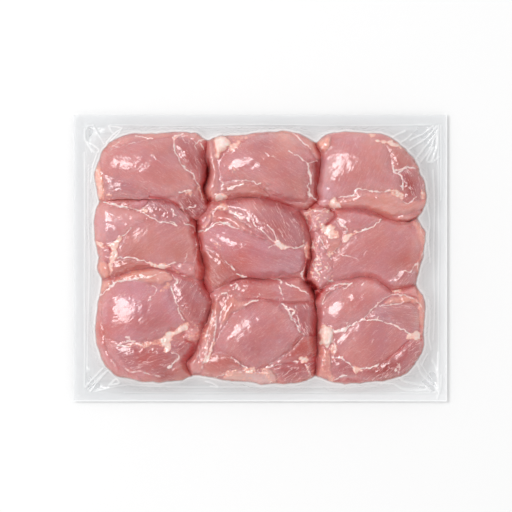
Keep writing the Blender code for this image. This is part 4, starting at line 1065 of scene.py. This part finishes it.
def flesh(x, y, piece):
    """The height of the top of a piece, and what its surface shows there."""
    edge_names, crown = PIECES[piece]
    outline = piece_outline(edge_names)
    middle, half = middle_and_half(outline)
    falls, crease_shade, crease_shade_red, rim_distance = edge_falls(x, y, edge_names, middle)
    shoulder = 1 - np.minimum(np.sum(np.power(falls, 3), axis=0) ** (1 / 3), 1)
    depth = np.maximum(depth_inside(x, y, outline), 0)
    off_centre = ((x - middle[0]) / half[0]) ** 2 + ((y - middle[1]) / half[1]) ** 2
    peaked = np.maximum(1 - off_centre ** PEAK_POWER, 0)
    height = WIDEST_LEVEL + SHOULDER_HEIGHT * shoulder
    sides = swell(depth, CROWN_RADIUS) ** 2
    height = height + (crown + CROWN_RISE) * (CROWN_SIDES * sides + CROWN_PEAK * peaked)

    relief, colour, grain, stripes, crest = muscle_relief(x, y, piece)
    colour = tinted(x, y, piece, colour, crease_shade_red, rim_distance)
    rough = rough_share(x, y, piece)
    fat = fat_share(x, y, piece)
    sinew = sinew_share(x, y, piece)
    pit = pit_share(x, y, piece)
    shreds = FINE_RISE * lumps(x, y, 1.5 * MM, 21) + BROAD_RISE * lumps(x, y, 6 * MM, 22)
    knots = KNOT_RISE * lumps(x, y, 3.4 * MM, 25) + SMALL_KNOT_RISE * lumps(x, y, 1.7 * MM, 26)
    height = height + relief + shreds * smooth_step(depth, 0, 6 * MM) + rough * knots
    beads = 1 + 0.7 * lumps(x, y, 2.4 * MM, 35)
    height = height + (FAT_RISE * fat + SINEW_RISE * sinew) * beads - PIT_DEPTH * pit

    # Painted shade along the inner edges of each top muscle, in the low parts of rough patches, in pits and
    # beside creases
    crease = np.exp(-crest / (1.1 * MM)) * (1 - fat) * (1 - sinew)
    crease = crease * np.clip(0.45 + 0.9 * lumps(x, y, 9 * MM, 27), 0, 1)
    crease = crease * smooth_step(rim_distance, 1 * MM, 5 * MM)
    shaded_hollow = rough * smooth_step(-knots / MM, 0.1, 0.9)
    light = (1 - PIT_SHADE * pit) * (1 - MUSCLE_EDGE_SHADE * crease)
    light = light * (1 - CREASE_SHADE_STRENGTH * crease_shade * (1 - 0.5 * fat)) * (1 - HOLLOW_SHADE * shaded_hollow)
    return height, colour, grain, stripes, fat, sinew, 1 - light


def outline_reach(outline, middle, directions):
    """How far the outline is from the middle in each direction."""
    starts = outline - middle
    steps = np.roll(starts, -1, axis=0) - starts
    reach = np.full(len(directions), np.inf)
    for (sx, sy), (dx, dy) in zip(starts, steps):
        cross = directions[:, 0] * dy - directions[:, 1] * dx
        with np.errstate(divide="ignore", invalid="ignore"):
            distance = (sx * dy - sy * dx) / cross
            share = (sx * directions[:, 1] - sy * directions[:, 0]) / cross
        hit = (share >= -HAIR) & (share <= 1 + HAIR) & (distance > 0)
        reach = np.where(hit, np.minimum(reach, distance), reach)
    return reach


def disc_grid(cells):
    """A square grid bent into a disc: radius, 0 to 1, and direction of each of its points."""
    line = np.linspace(-1, 1, cells + 1)
    u, v = np.meshgrid(line, line)
    radius = np.maximum(np.abs(u), np.abs(v))
    with np.errstate(divide="ignore", invalid="ignore"):
        wide = np.abs(u) >= np.abs(v)
        angle = np.where(wide, np.pi / 4 * v / u, np.pi / 2 - np.pi / 4 * u / v)
        angle = np.where(np.where(wide, u, v) < 0, angle + np.pi, angle)
    angle[radius == 0] = 0
    return radius.ravel(), angle.ravel()


def rim_loop(cells):
    """The indices of a grid's outer points, once round."""
    side = cells + 1
    return np.concatenate([np.arange(cells), np.arange(cells) * side + cells,
                           side * side - 1 - np.arange(cells), (cells - np.arange(cells)) * side])


def grid_faces(columns, rows, flip=False):
    """Quads over a grid of points stored row by row."""
    side = columns + 1
    corner = (np.arange(rows)[:, None] * side + np.arange(columns)).ravel()
    ring = [corner, corner + 1, corner + side + 1, corner + side]
    if flip:
        ring.reverse()
    return np.stack(ring, axis=1).tolist()


def new_mesh(name, points, faces, smooth=True):
    """A mesh object from its points and faces."""
    mesh = bpy.data.meshes.new(name)
    mesh.from_pydata(points.tolist(), [], faces)
    mesh.update()
    if smooth:
        mesh.shade_smooth()
    thing = bpy.data.objects.new(name, mesh)
    bpy.context.scene.collection.objects.link(thing)
    return thing


def store(mesh, name, kind, values):
    """Keep values on the mesh's points, for its material to read."""
    layer = mesh.attributes.new(name, kind, "POINT")
    key = {"FLOAT": "value", "FLOAT_VECTOR": "vector", "FLOAT_COLOR": "color"}[kind]
    layer.data.foreach_set(key, np.ascontiguousarray(values, np.float32).ravel())


def dress(thing, material):
    """Put the material on a piece of the pack, hang it on the frame's root body and hide the solid it stands
    in for.
    """
    thing.data.materials.append(material)
    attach(thing, BODY)
    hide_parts(NODE)


def base_level(depth):
    """The level of a piece's underside, on its film, at this depth inside the outline."""
    return TABLE_GAP + WIDEST_LEVEL * (1 - swell(depth, UNDERSIDE_RADIUS))


def meat_piece(piece, material):
    """One folded leg: a top with its muscles in relief, closed by a flatter underside."""
    outline = piece_outline(PIECES[piece][0])
    middle, _ = middle_and_half(outline)
    radius, angle = disc_grid(TOP_CELLS)
    radius = (1 + RIM_CROWDING) * radius - RIM_CROWDING * radius ** 10
    directions = np.stack([np.cos(angle), np.sin(angle)], axis=1)
    loop = rim_loop(TOP_CELLS)
    loop_reach = outline_reach(outline, middle, directions[loop]) - CREASE_GAP
    turns = range(-REACH_SPREAD, REACH_SPREAD + 1)
    even_reach = np.mean([np.roll(loop_reach, turn) for turn in turns], axis=0)
    near_outline = np.clip(radius, 0, 1) ** 6
    reach = (np.interp(angle, angle[loop], even_reach, period=2 * np.pi) * (1 - near_outline)
             + np.interp(angle, angle[loop], loop_reach, period=2 * np.pi) * near_outline)
    flat = middle + directions * (radius * reach)[:, None]
    height, colour, grain, stripes, fat, sinew, painted_shade = flesh(flat[:, 0], flat[:, 1], piece)
    top = np.column_stack([flat, height])

    rings = []
    for ring in range(1, WALL_RINGS + BASE_RINGS):
        fallen = min(ring / WALL_RINGS, 1)
        inward = (max(ring - WALL_RINGS, 0) / BASE_RINGS) ** 1.6
        share = WALL_SLANT * fallen + (1 - WALL_SLANT) * inward
        place = middle + directions[loop] * (loop_reach * (1 - share))[:, None]
        depth = np.maximum(depth_inside(place[:, 0], place[:, 1], outline), 0)
        level = base_level(depth) + FILM_CLEARANCE
        rings.append(np.column_stack([place, level * fallen + height[loop] * (1 - fallen)]))
    centre = np.array([[*middle, TABLE_GAP + FILM_CLEARANCE]])
    points = np.vstack([top, *rings, centre])

    faces = grid_faces(TOP_CELLS, TOP_CELLS)
    around = len(loop)
    ring_starts = [loop] + [len(top) + ring * around + np.arange(around) for ring in range(len(rings))]
    for outer, inner in zip(ring_starts, ring_starts[1:]):
        faces += np.stack([np.roll(outer, -1), outer, inner, np.roll(inner, -1)], axis=1).tolist()
    last = ring_starts[-1]
    faces += np.stack([np.roll(last, -1), last, np.full(around, len(points) - 1)], axis=1).tolist()

    thing = new_mesh("leg_piece_" + piece, points, faces)
    base = points[len(top):]
    colour = np.vstack([colour, np.tile(colour[loop].mean(0), (len(base), 1))])
    store(thing.data, "flesh", "FLOAT_COLOR", np.column_stack([colour, np.ones(len(colour))]))
    grain = np.vstack([grain, np.column_stack([base[:, 1], base[:, 0]]) / MM])
    store(thing.data, "grain", "FLOAT_VECTOR", np.column_stack([grain, points[:, 2] / MM]))
    # The painted shade is kept for the material; the underside gets an even share of it
    for name, on_top, on_base in (("stripes", stripes, PLAIN_STRIPES), ("fat", fat, 0), ("sinew", sinew, 0),
                                  ("painted_shade", painted_shade, UNDERSIDE_SHADE)):
        store(thing.data, name, "FLOAT", np.concatenate([on_top, np.full(len(base), on_base)]))
    dress(thing, material)


def graded_line(low, high, border):
    """Grid lines from low to high, close together within the border of each end."""
    fine = round(border / FINE_CELL)
    coarse = round((high - low - 2 * border) / COARSE_CELL)
    return np.concatenate([np.linspace(low, low + border, fine + 1)[:-1],
                           np.linspace(low + border, high - border, coarse + 1)[:-1],
                           np.linspace(high - border, high, fine + 1)])


def even_lines(step):
    """Grid lines along and across the pack, about this step apart."""
    return (np.linspace(LEFT, RIGHT, round(PACK_LENGTH / step) + 1),
            np.linspace(FRONT, BACK, round(PACK_WIDTH / step) + 1))


def neighbour_mean(height):
    """The mean of the four neighbours of each inner point of a raster."""
    mean = height.copy()
    mean[1:-1, 1:-1] = (height[:-2, 1:-1] + height[2:, 1:-1] + height[1:-1, :-2] + height[1:-1, 2:]) / 4
    return mean


def widest_of_nine(height):
    """Each point's highest value among itself and its eight neighbours."""
    padded = np.pad(height, 1, mode="edge")
    rows, columns = height.shape
    return np.max([padded[r:r + rows, c:c + columns] for r in range(3) for c in range(3)], axis=0)


def film_rasters():
    """The two webs as height maps: the top one hangs on the meat, the bottom one under it."""
    xs, ys = even_lines(RASTER_STEP)
    x, y = np.meshgrid(xs, ys)
    top = np.full(x.shape, FLANGE_TOP - FILM_SAG)
    under = np.full(x.shape, FLANGE_TOP - FLANGE_THICKNESS)
    for piece, (edge_names, _) in PIECES.items():
        outline = piece_outline(edge_names)
        depth = near_depth(x, y, outline, 1 * MM)
        inside = depth > 0
        top[inside] = flesh(x[inside], y[inside], piece)[0] + FILM_CLEARANCE
        under[inside] = base_level(depth)[inside]
    top = widest_of_nine(top)
    beyond_meat = -depth_inside(x, y, piece_outline(RIMS))
    pull = FILM_PULL + (BORDER_PULL - FILM_PULL) * smooth_step(beyond_meat, -6 * MM, 0)
    seal = outside_seal(x, y) > 0
    film_top, film_under = top.copy(), under.copy()
    for _ in range(FILM_STEPS):
        film_top = np.maximum(top, neighbour_mean(film_top) - pull)
        film_top[seal] = FLANGE_TOP
        film_under = np.minimum(under, neighbour_mean(film_under) + UNDER_PULL)
        film_under[seal] = FLANGE_TOP - FLANGE_THICKNESS
    film_top[~seal] = neighbour_mean(neighbour_mean(film_top))[~seal]
    return xs, ys, film_top, film_under, beyond_meat


def read_raster(xs, ys, heights, x, y):
    """The height map's value at each place, between its points."""
    u = np.clip((x - xs[0]) / (xs[1] - xs[0]), 0, len(xs) - 1.001)
    v = np.clip((y - ys[0]) / (ys[1] - ys[0]), 0, len(ys) - 1.001)
    column, row = u.astype(int), v.astype(int)
    s, t = u - column, v - row
    low = heights[row, column] * (1 - s) + heights[row, column + 1] * s
    high = heights[row + 1, column] * (1 - s) + heights[row + 1, column + 1] * s
    return low * (1 - t) + high * t


def film_web(name, lines, looks, flip, material):
    """One web of film as a sheet over a grid, from its level, haze, painted light and shade, and gloss."""
    x, y = (line.ravel() for line in np.meshgrid(*lines))
    level, *layers = looks(x, y)
    faces = grid_faces(len(lines[0]) - 1, len(lines[1]) - 1, flip)
    web = new_mesh(name, np.column_stack([x, y, level]), faces)
    for layer, values in zip(("haze", "painted_milk_light", "gloss"), layers):
        store(web.data, layer, "FLOAT", values)
    dress(web, material)


def outside_seal(x, y):
    """How far each place lies outside the seal's inner border; negative inside it."""
    return np.maximum(np.maximum(LEFT + SEAL_LEFT - x, x - RIGHT + SEAL_RIGHT),
                      np.maximum(FRONT + SEAL_FRONT - y, y - BACK + SEAL_BACK))


def film(material):
    """The top and bottom webs."""
    xs, ys, film_top, film_under, beyond_meat = film_rasters()

    def bare(x, y):
        return smooth_step(read_raster(xs, ys, beyond_meat, x, y), -1.7 * MM, -0.3 * MM)

    def top_looks(x, y):
        off_meat = bare(x, y)
        lift, veil, painted_milk_light = film_wrinkles(x, y, read_raster(xs, ys, beyond_meat, x, y))
        level = read_raster(xs, ys, film_top, x, y) + lift * off_meat
        haze = np.clip((BORDER_HAZE + veil) * off_meat, 0, MOST_HAZE)
        gloss = FILM_GLOSS_ON_MEAT + (1 - FILM_GLOSS_ON_MEAT) * off_meat
        gloss = gloss * (1 - SEAL_DULLNESS * smooth_step(outside_seal(x, y), -2 * MM, 1 * MM))
        for name, drop in CREASE_DROPS.items():
            reach = (1.0 + 4.5 * drop ** 2) * MM
            distance = near_distance(x, y, edge_path(name), 2 * PATCH_MARGIN)
            gloss = gloss * (1 - CREASE_DULLNESS * np.exp(-(distance / reach) ** 2))
        return level, haze, painted_milk_light * off_meat, gloss

    def under_looks(x, y):
        level = read_raster(xs, ys, film_under, x, y)
        return level, UNDER_HAZE * bare(x, y), np.zeros(x.shape), np.ones(x.shape)

    top_lines = graded_line(LEFT, RIGHT, FINE_BORDER_X), graded_line(FRONT, BACK, FINE_BORDER_Y)
    film_web("film_top", top_lines, top_looks, False, material)
    film_web("film_bottom", even_lines(BASE_CELL), under_looks, True, material)


def film_wrinkles(x, y, beyond_meat):
    """How far folds and ripples lift the top web, how milky they make it, and the painted light and shade of
    its milk.
    """
    lift, white, grey = np.zeros(x.shape), np.zeros(x.shape), np.zeros(x.shape)
    for path, height, width in FOLDS:
        curve = smooth_curve(plan(path))
        distance = near_distance(x, y, curve, FOLD_MARGIN) / (width * MM)
        beside = near_distance(x - FOLD_SHADOW, y + FOLD_SHADOW, curve, FOLD_MARGIN) / (width * MM)
        lift = np.maximum(lift, height * MM * np.exp(-1.6 * distance))
        # Fold crests are milkier and get a painted highlight; beside each fold, on the side away from the
        # light, painted shade
        white = np.maximum(white, height * np.exp(-(1.8 * distance) ** 2))
        grey = np.maximum(grey, 0.7 * height * np.exp(-(1.5 * beside) ** 2))
    loose = smooth_step(-outside_seal(x, y), 0, 3 * MM)
    upright = np.abs(x) * PACK_WIDTH > np.abs(y) * PACK_LENGTH
    u, v = np.where(upright, x, y), np.where(upright, y, x)
    streak = lumps(u * 7, v, 24 * MM, 51) + 0.5 * lumps(u * 12, v, 18 * MM, 52)
    hug = beyond_meat - 2.6 * MM - 1.3 * MM * lumps(x, y, 15 * MM, 55)
    cling = loose * np.exp(-(hug / (0.7 * MM)) ** 2) * smooth_step(lumps(x, y, 11 * MM, 56), -0.5, 0.6)
    lift = lift + loose * RIPPLE_RISE * streak + RIPPLE_RISE * cling
    # A thin cut lip along the right and front edges, milkier and with a painted highlight
    lip = np.minimum(RIGHT - x, y - FRONT)
    edge = smooth_step(-lip, -1.3 * MM, -0.5 * MM)
    # Painted light over the film on the side away from the key light, lighter toward the right and front and
    # a little greyer toward the left and back
    shaded = 0.65 * smooth_step((x - y) / PACK_LENGTH, 0.1, 0.6) - 0.08
    # Painted light, also milkier, just beside the meat's outline, where the meat casts shade
    painted_light_by_meat = np.exp(-((beyond_meat - 0.2 * MM) / (0.9 * MM)) ** 2)
    # Painted highlights on fold crests, clinging lines and the cut lip, painted light and shade along the
    # ripples, painted shade beside folds
    painted_milk_light = white + 0.55 * cling + 0.9 * edge + 0.30 * streak * (0.35 + 0.65 * loose)
    painted_milk_light = painted_milk_light - grey * (1 - white) + shaded + 0.35 * painted_light_by_meat
    return lift, 0.3 * np.maximum(white, edge) + 0.12 * painted_light_by_meat, np.clip(painted_milk_light, -1, 1)


class Nodes:
    """Short ways to add and join the nodes of a material."""

    def __init__(self, name):
        self.material = bpy.data.materials.new(name)
        self.material.use_nodes = True
        self.tree = self.material.node_tree
        self.tree.nodes.clear()

    def add(self, kind, inputs=None, **settings):
        """A node with its settings; each input is a value to set or a socket to join."""
        node = self.tree.nodes.new("ShaderNode" + kind)
        for key, value in settings.items():
            setattr(node, key, value)
        for key, value in (inputs or {}).items():
            if isinstance(value, bpy.types.NodeSocket):
                self.tree.links.new(value, node.inputs[key])
            elif value is not None:
                node.inputs[key].default_value = value
        return node

    def attribute(self, name, output="Fac"):
        """What the mesh keeps under this name."""
        return self.add("Attribute", attribute_name=name).outputs[output]

    def place(self):
        """The place on the object, in metres."""
        return self.add("TexCoord").outputs["Object"]

    def math(self, operation, first, second=None):
        """Arithmetic on one number or two."""
        return self.add("Math", {0: first, 1: second}, operation=operation).outputs[0]

    def span(self, value, from_low, from_high, to_low=0.0, to_high=1.0):
        """The value eased from one span to another."""
        inputs = dict(enumerate((value, from_low, from_high, to_low, to_high)))
        return self.add("MapRange", inputs, interpolation_type="SMOOTHSTEP").outputs[0]

    def mix(self, share, first, second, blend="MIX"):
        """Two colours mixed; inputs 6 and 7 and output 2 are the node's colour sockets."""
        node = self.add("Mix", {"Factor": share, 6: first, 7: second}, data_type="RGBA", blend_type=blend)
        return node.outputs[2]

    def mix_shaders(self, share, first, second):
        """Two shaders mixed."""
        return self.add("MixShader", {0: share, 1: first, 2: second}).outputs[0]

    def stretched(self, vector, scale, rotation=(0, 0, 0)):
        """A place turned and scaled."""
        inputs = {"Vector": vector, "Rotation": rotation, "Scale": scale}
        return self.add("Mapping", inputs, vector_type="POINT").outputs[0]

    def noise(self, vector, scale, detail=3.0, roughness=0.55, output="Fac"):
        """Noise over the places."""
        inputs = {"Vector": vector, "Scale": scale, "Detail": detail, "Roughness": roughness}
        return self.add("TexNoise", inputs).outputs[output]

    def bump(self, height, strength, distance, normal=None):
        """Fine relief in the way the surface faces, over any relief given before."""
        inputs = {"Strength": strength, "Distance": distance, "Height": height, "Normal": normal}
        return self.add("Bump", inputs).outputs[0]

    def finish(self, shader):
        """The material with this shader as its surface."""
        self.add("OutputMaterial", {"Surface": shader})
        return self.material


def meat_material():
    """Raw leg meat: grained muscle, cream fat and white sinew, with painted deep red shade where shade falls.
    """
    nodes = Nodes("raw_leg_meat")
    grain = nodes.attribute("grain", "Vector")
    stripes = nodes.attribute("stripes")
    fibres = nodes.noise(nodes.stretched(grain, (1.0, 0.15, 0.1)), 0.52, 3.0, 0.6)
    strands = nodes.noise(nodes.stretched(grain, (1.0, 0.14, 0.1)), 0.42, 2.0)
    breaks = nodes.noise(nodes.stretched(grain, (1.0, 0.4, 0.1)), 0.21, 2.0)
    wrinkles = nodes.noise(nodes.stretched(grain, (1.0, 0.22, 0.1)), 0.66, 1.0, 0.5)
    place = nodes.place()
    blotches = nodes.noise(place, 75.0, 3.0)
    hue = nodes.noise(place, 48.0, 2.0)
    fine = nodes.noise(place, 900.0, 2.0)
    medium = nodes.noise(place, 330.0, 3.0)

    colour = nodes.attribute("flesh", "Color")
    warm = nodes.mix(1.0, colour, WARM_SHARE, "MULTIPLY")
    cool = nodes.mix(1.0, colour, COOL_SHARE, "MULTIPLY")
    colour = nodes.mix(nodes.span(hue, 0.36, 0.64), cool, warm)
    deeper = nodes.mix(1.0, colour, DEEPER_SHARE, "MULTIPLY")
    colour = nodes.mix(nodes.span(blotches, 0.38, 0.68, 0.0, 0.55), colour, deeper)
    striped = nodes.span(stripes, 0.0, 1.2, 0.25, 0.95)
    colour = nodes.mix(nodes.math("MULTIPLY", nodes.span(fibres, 0.34, 0.66), striped), colour, deeper)
    colour = nodes.mix(nodes.span(fibres, 0.50, 0.30, 0.0, 0.12), colour, PALE_FIBRE)
    colour = nodes.mix(nodes.span(medium, 0.42, 0.66, 0.0, 0.30), colour, deeper)
    colour = nodes.mix(nodes.span(fine, 0.40, 0.64, 0.0, 0.35), colour, deeper)
    colour = nodes.mix(nodes.span(fine, 0.42, 0.28, 0.0, 0.16), colour, PALE_FIBRE)
    ridge = nodes.math("ABSOLUTE", nodes.math("SUBTRACT", strands, 0.5))
    broken = nodes.span(breaks, 0.44, 0.58, 0.0, 0.85)
    thread = nodes.math("MULTIPLY", nodes.span(ridge, 0.03, 0.004), broken)
    colour = nodes.mix(nodes.math("MULTIPLY", thread, stripes), colour, PALE_FIBRE)

    wear = nodes.math("SUBTRACT", nodes.math("ADD", medium, fibres), 1.0)
    wear = nodes.math("MULTIPLY", wear, 0.7)
    fat = nodes.math("ADD", nodes.attribute("fat"), wear)
    cream = nodes.mix(nodes.span(blotches, 0.36, 0.64), FAT_LIGHT, FAT_DEEP)
    colour = nodes.mix(nodes.span(fat, 0.16, 0.5), colour, FAT_BORDER)
    colour = nodes.mix(nodes.span(fat, 0.4, 1.0), colour, cream)
    sinew = nodes.math("ADD", nodes.attribute("sinew"), wear)
    colour = nodes.mix(nodes.span(sinew, 0.2, 0.8), colour, SINEW_WHITE)
    # Painted shade: deep red as it grows, and almost black red where it is deepest
    painted_shade = nodes.attribute("painted_shade")
    colour = nodes.mix(nodes.span(painted_shade, 0.0, 1.0, 0.0, 0.97), colour, SHADE_RED)
    colour = nodes.mix(nodes.span(painted_shade, 0.55, 1.0, 0.0, 0.9), colour, DEEP_SHADE_RED)

    relief = nodes.bump(fibres, 0.5, 0.6 * MM)
    relief = nodes.bump(medium, 0.25, 0.5 * MM, relief)
    wet = nodes.bump(wrinkles, 1.0, 0.17 * MM)
    wet = nodes.bump(medium, 1.0, 0.05 * MM, wet)
    shader = nodes.add("BsdfPrincipled", {
        "Base Color": colour, "Roughness": 0.34, "Specular IOR Level": 0.35, "Normal": relief,
        "Subsurface Weight": 0.5, "Subsurface Radius": (1.0, 0.26, 0.2), "Subsurface Scale": 3.0 * MM,
        "Coat Weight": 1.0, "Coat Roughness": 0.14, "Coat IOR": 1.8, "Coat Normal": wet,
    })
    return nodes.finish(shader.outputs[0])


def film_material():
    """Thin clear film: mirror-like in fine puckers and streaks, milky where it is folded or sealed, its milk
    lighter or darker by painted light and shade.
    """
    nodes = Nodes("clear_film")
    place = nodes.place()
    drift = nodes.noise(place, 30.0, 2.0, 0.5, output="Color")
    centred = nodes.add("VectorMath", {0: drift, 1: (0.5, 0.5, 0.5)}, operation="SUBTRACT").outputs[0]
    reach = (STREAK_DRIFT, STREAK_DRIFT, 0)
    shifted = nodes.add("VectorMath", {0: centred, 1: reach, 2: place}, operation="MULTIPLY_ADD").outputs[0]
    turned = nodes.stretched(shifted, (1.0, STREAK_STRETCH, 1.0), (0, 0, STREAK_TURN))
    normal = nodes.bump(nodes.noise(place, 90.0, 2.0, 0.5), 0.6, 1.6 * MM)
    normal = nodes.bump(nodes.noise(place, 260.0, 2.0, 0.5), 0.6, 1.0 * MM, normal)
    normal = nodes.bump(nodes.noise(turned, 120.0, 2.0, 0.55), 0.7, 1.6 * MM, normal)

    clear = nodes.add("BsdfTransparent", {"Color": FILM_CLEAR})
    # The milk's colour follows the painted light and shade kept on the web
    milk_colour = nodes.mix(nodes.span(nodes.attribute("painted_milk_light"), -1.0, 1.0), FILM_GREY, FILM_WHITE)
    front_milk = nodes.add("BsdfDiffuse", {"Color": milk_colour})
    back_milk = nodes.add("BsdfTranslucent", {"Color": milk_colour})
    milk = nodes.mix_shaders(FILM_GLOW, front_milk.outputs[0], back_milk.outputs[0])
    body = nodes.mix_shaders(nodes.attribute("haze"), clear.outputs[0], milk)
    gloss = nodes.add("BsdfAnisotropic", {
        "Color": (1, 1, 1, 1), "Roughness": FILM_ROUGHNESS, "Normal": normal,
    })
    slant = nodes.add("LayerWeight", {"Blend": 0.5, "Normal": normal})
    rise = nodes.math("POWER", slant.outputs["Facing"], 4.0)
    mirrored = nodes.math("ADD", nodes.math("MULTIPLY", rise, FILM_SLANT_MIRROR), FILM_MIRROR)
    mirrored = nodes.math("MULTIPLY", mirrored, nodes.attribute("gloss"))
    return nodes.finish(nodes.mix_shaders(mirrored, body, gloss.outputs[0]))


def floor():
    """A plain white table."""
    half = TABLE_SIDE / 2
    points = np.array([(-half, -half, 0), (half, -half, 0), (half, half, 0), (-half, half, 0)], float)
    table = new_mesh("floor", points, [(0, 1, 2, 3)], smooth=False)
    nodes = Nodes("white_table")
    shader = nodes.add("BsdfPrincipled", {
        "Base Color": (TABLE_WHITE, TABLE_WHITE, TABLE_WHITE, 1), "Roughness": 0.9, "Specular IOR Level": 0.0,
    })
    table.data.materials.append(nodes.finish(shader.outputs[0]))


def area_light(name, place, target, side, power):
    """A square soft box that faces the target."""
    light = bpy.data.lights.new(name, "AREA")
    light.size = side
    light.energy = power
    lamp = bpy.data.objects.new(name, light)
    lamp.location = place
    lamp.rotation_euler = (Vector(target) - Vector(place)).to_track_quat("-Z", "Y").to_euler()
    bpy.context.scene.collection.objects.link(lamp)


def lights():
    """Soft light from all round, weaker from straight above, and a soft box behind the pack's left end."""
    world = bpy.data.worlds.new("studio")
    bpy.context.scene.world = world
    world.use_nodes = True
    tree = world.node_tree
    background = tree.nodes["Background"]
    background.inputs["Color"].default_value = (1.0, 1.0, 1.0, 1)
    direction = tree.nodes.new("ShaderNodeTexCoord")
    height = tree.nodes.new("ShaderNodeSeparateXYZ")
    tree.links.new(direction.outputs["Generated"], height.inputs[0])
    ramp = tree.nodes.new("ShaderNodeMapRange")
    ramp.interpolation_type = "SMOOTHSTEP"
    tree.links.new(height.outputs["Z"], ramp.inputs["Value"])
    for name, value in (("From Min", SKY_FADE_START), ("From Max", SKY_FADE_END), ("To Min", SKY_SIDE),
                        ("To Max", SKY_TOP)):
        ramp.inputs[name].default_value = value
    tree.links.new(ramp.outputs["Result"], background.inputs["Strength"])
    area_light("key_light", KEY_PLACE, KEY_TARGET, KEY_SIDE, KEY_POWER)


def camera():
    """The photograph's view: straight down, from far off, with the pack where the picture has it."""
    lens = bpy.data.cameras.new("camera")
    frame_width = PICTURE_SIDE * PLAN_SCALE
    lens.sensor_width = SENSOR
    lens.lens = SENSOR * CAMERA_DISTANCE / frame_width
    lens.clip_end = 4 * CAMERA_DISTANCE
    eye = bpy.data.objects.new("camera", lens)
    x, y = plan((PICTURE_SIDE / 2, PICTURE_SIDE / 2))
    eye.location = (x, y, FLANGE_TOP + CAMERA_DISTANCE)
    bpy.context.scene.collection.objects.link(eye)
    bpy.context.scene.camera = eye


def main():
    """Build the pack, its table, its light and the view."""
    bpy.context.scene.view_settings.view_transform = "Standard"
    flesh_finish = meat_material()
    for piece in PIECES:
        meat_piece(piece, flesh_finish)
    film(film_material())
    floor()
    lights()
    camera()


main()
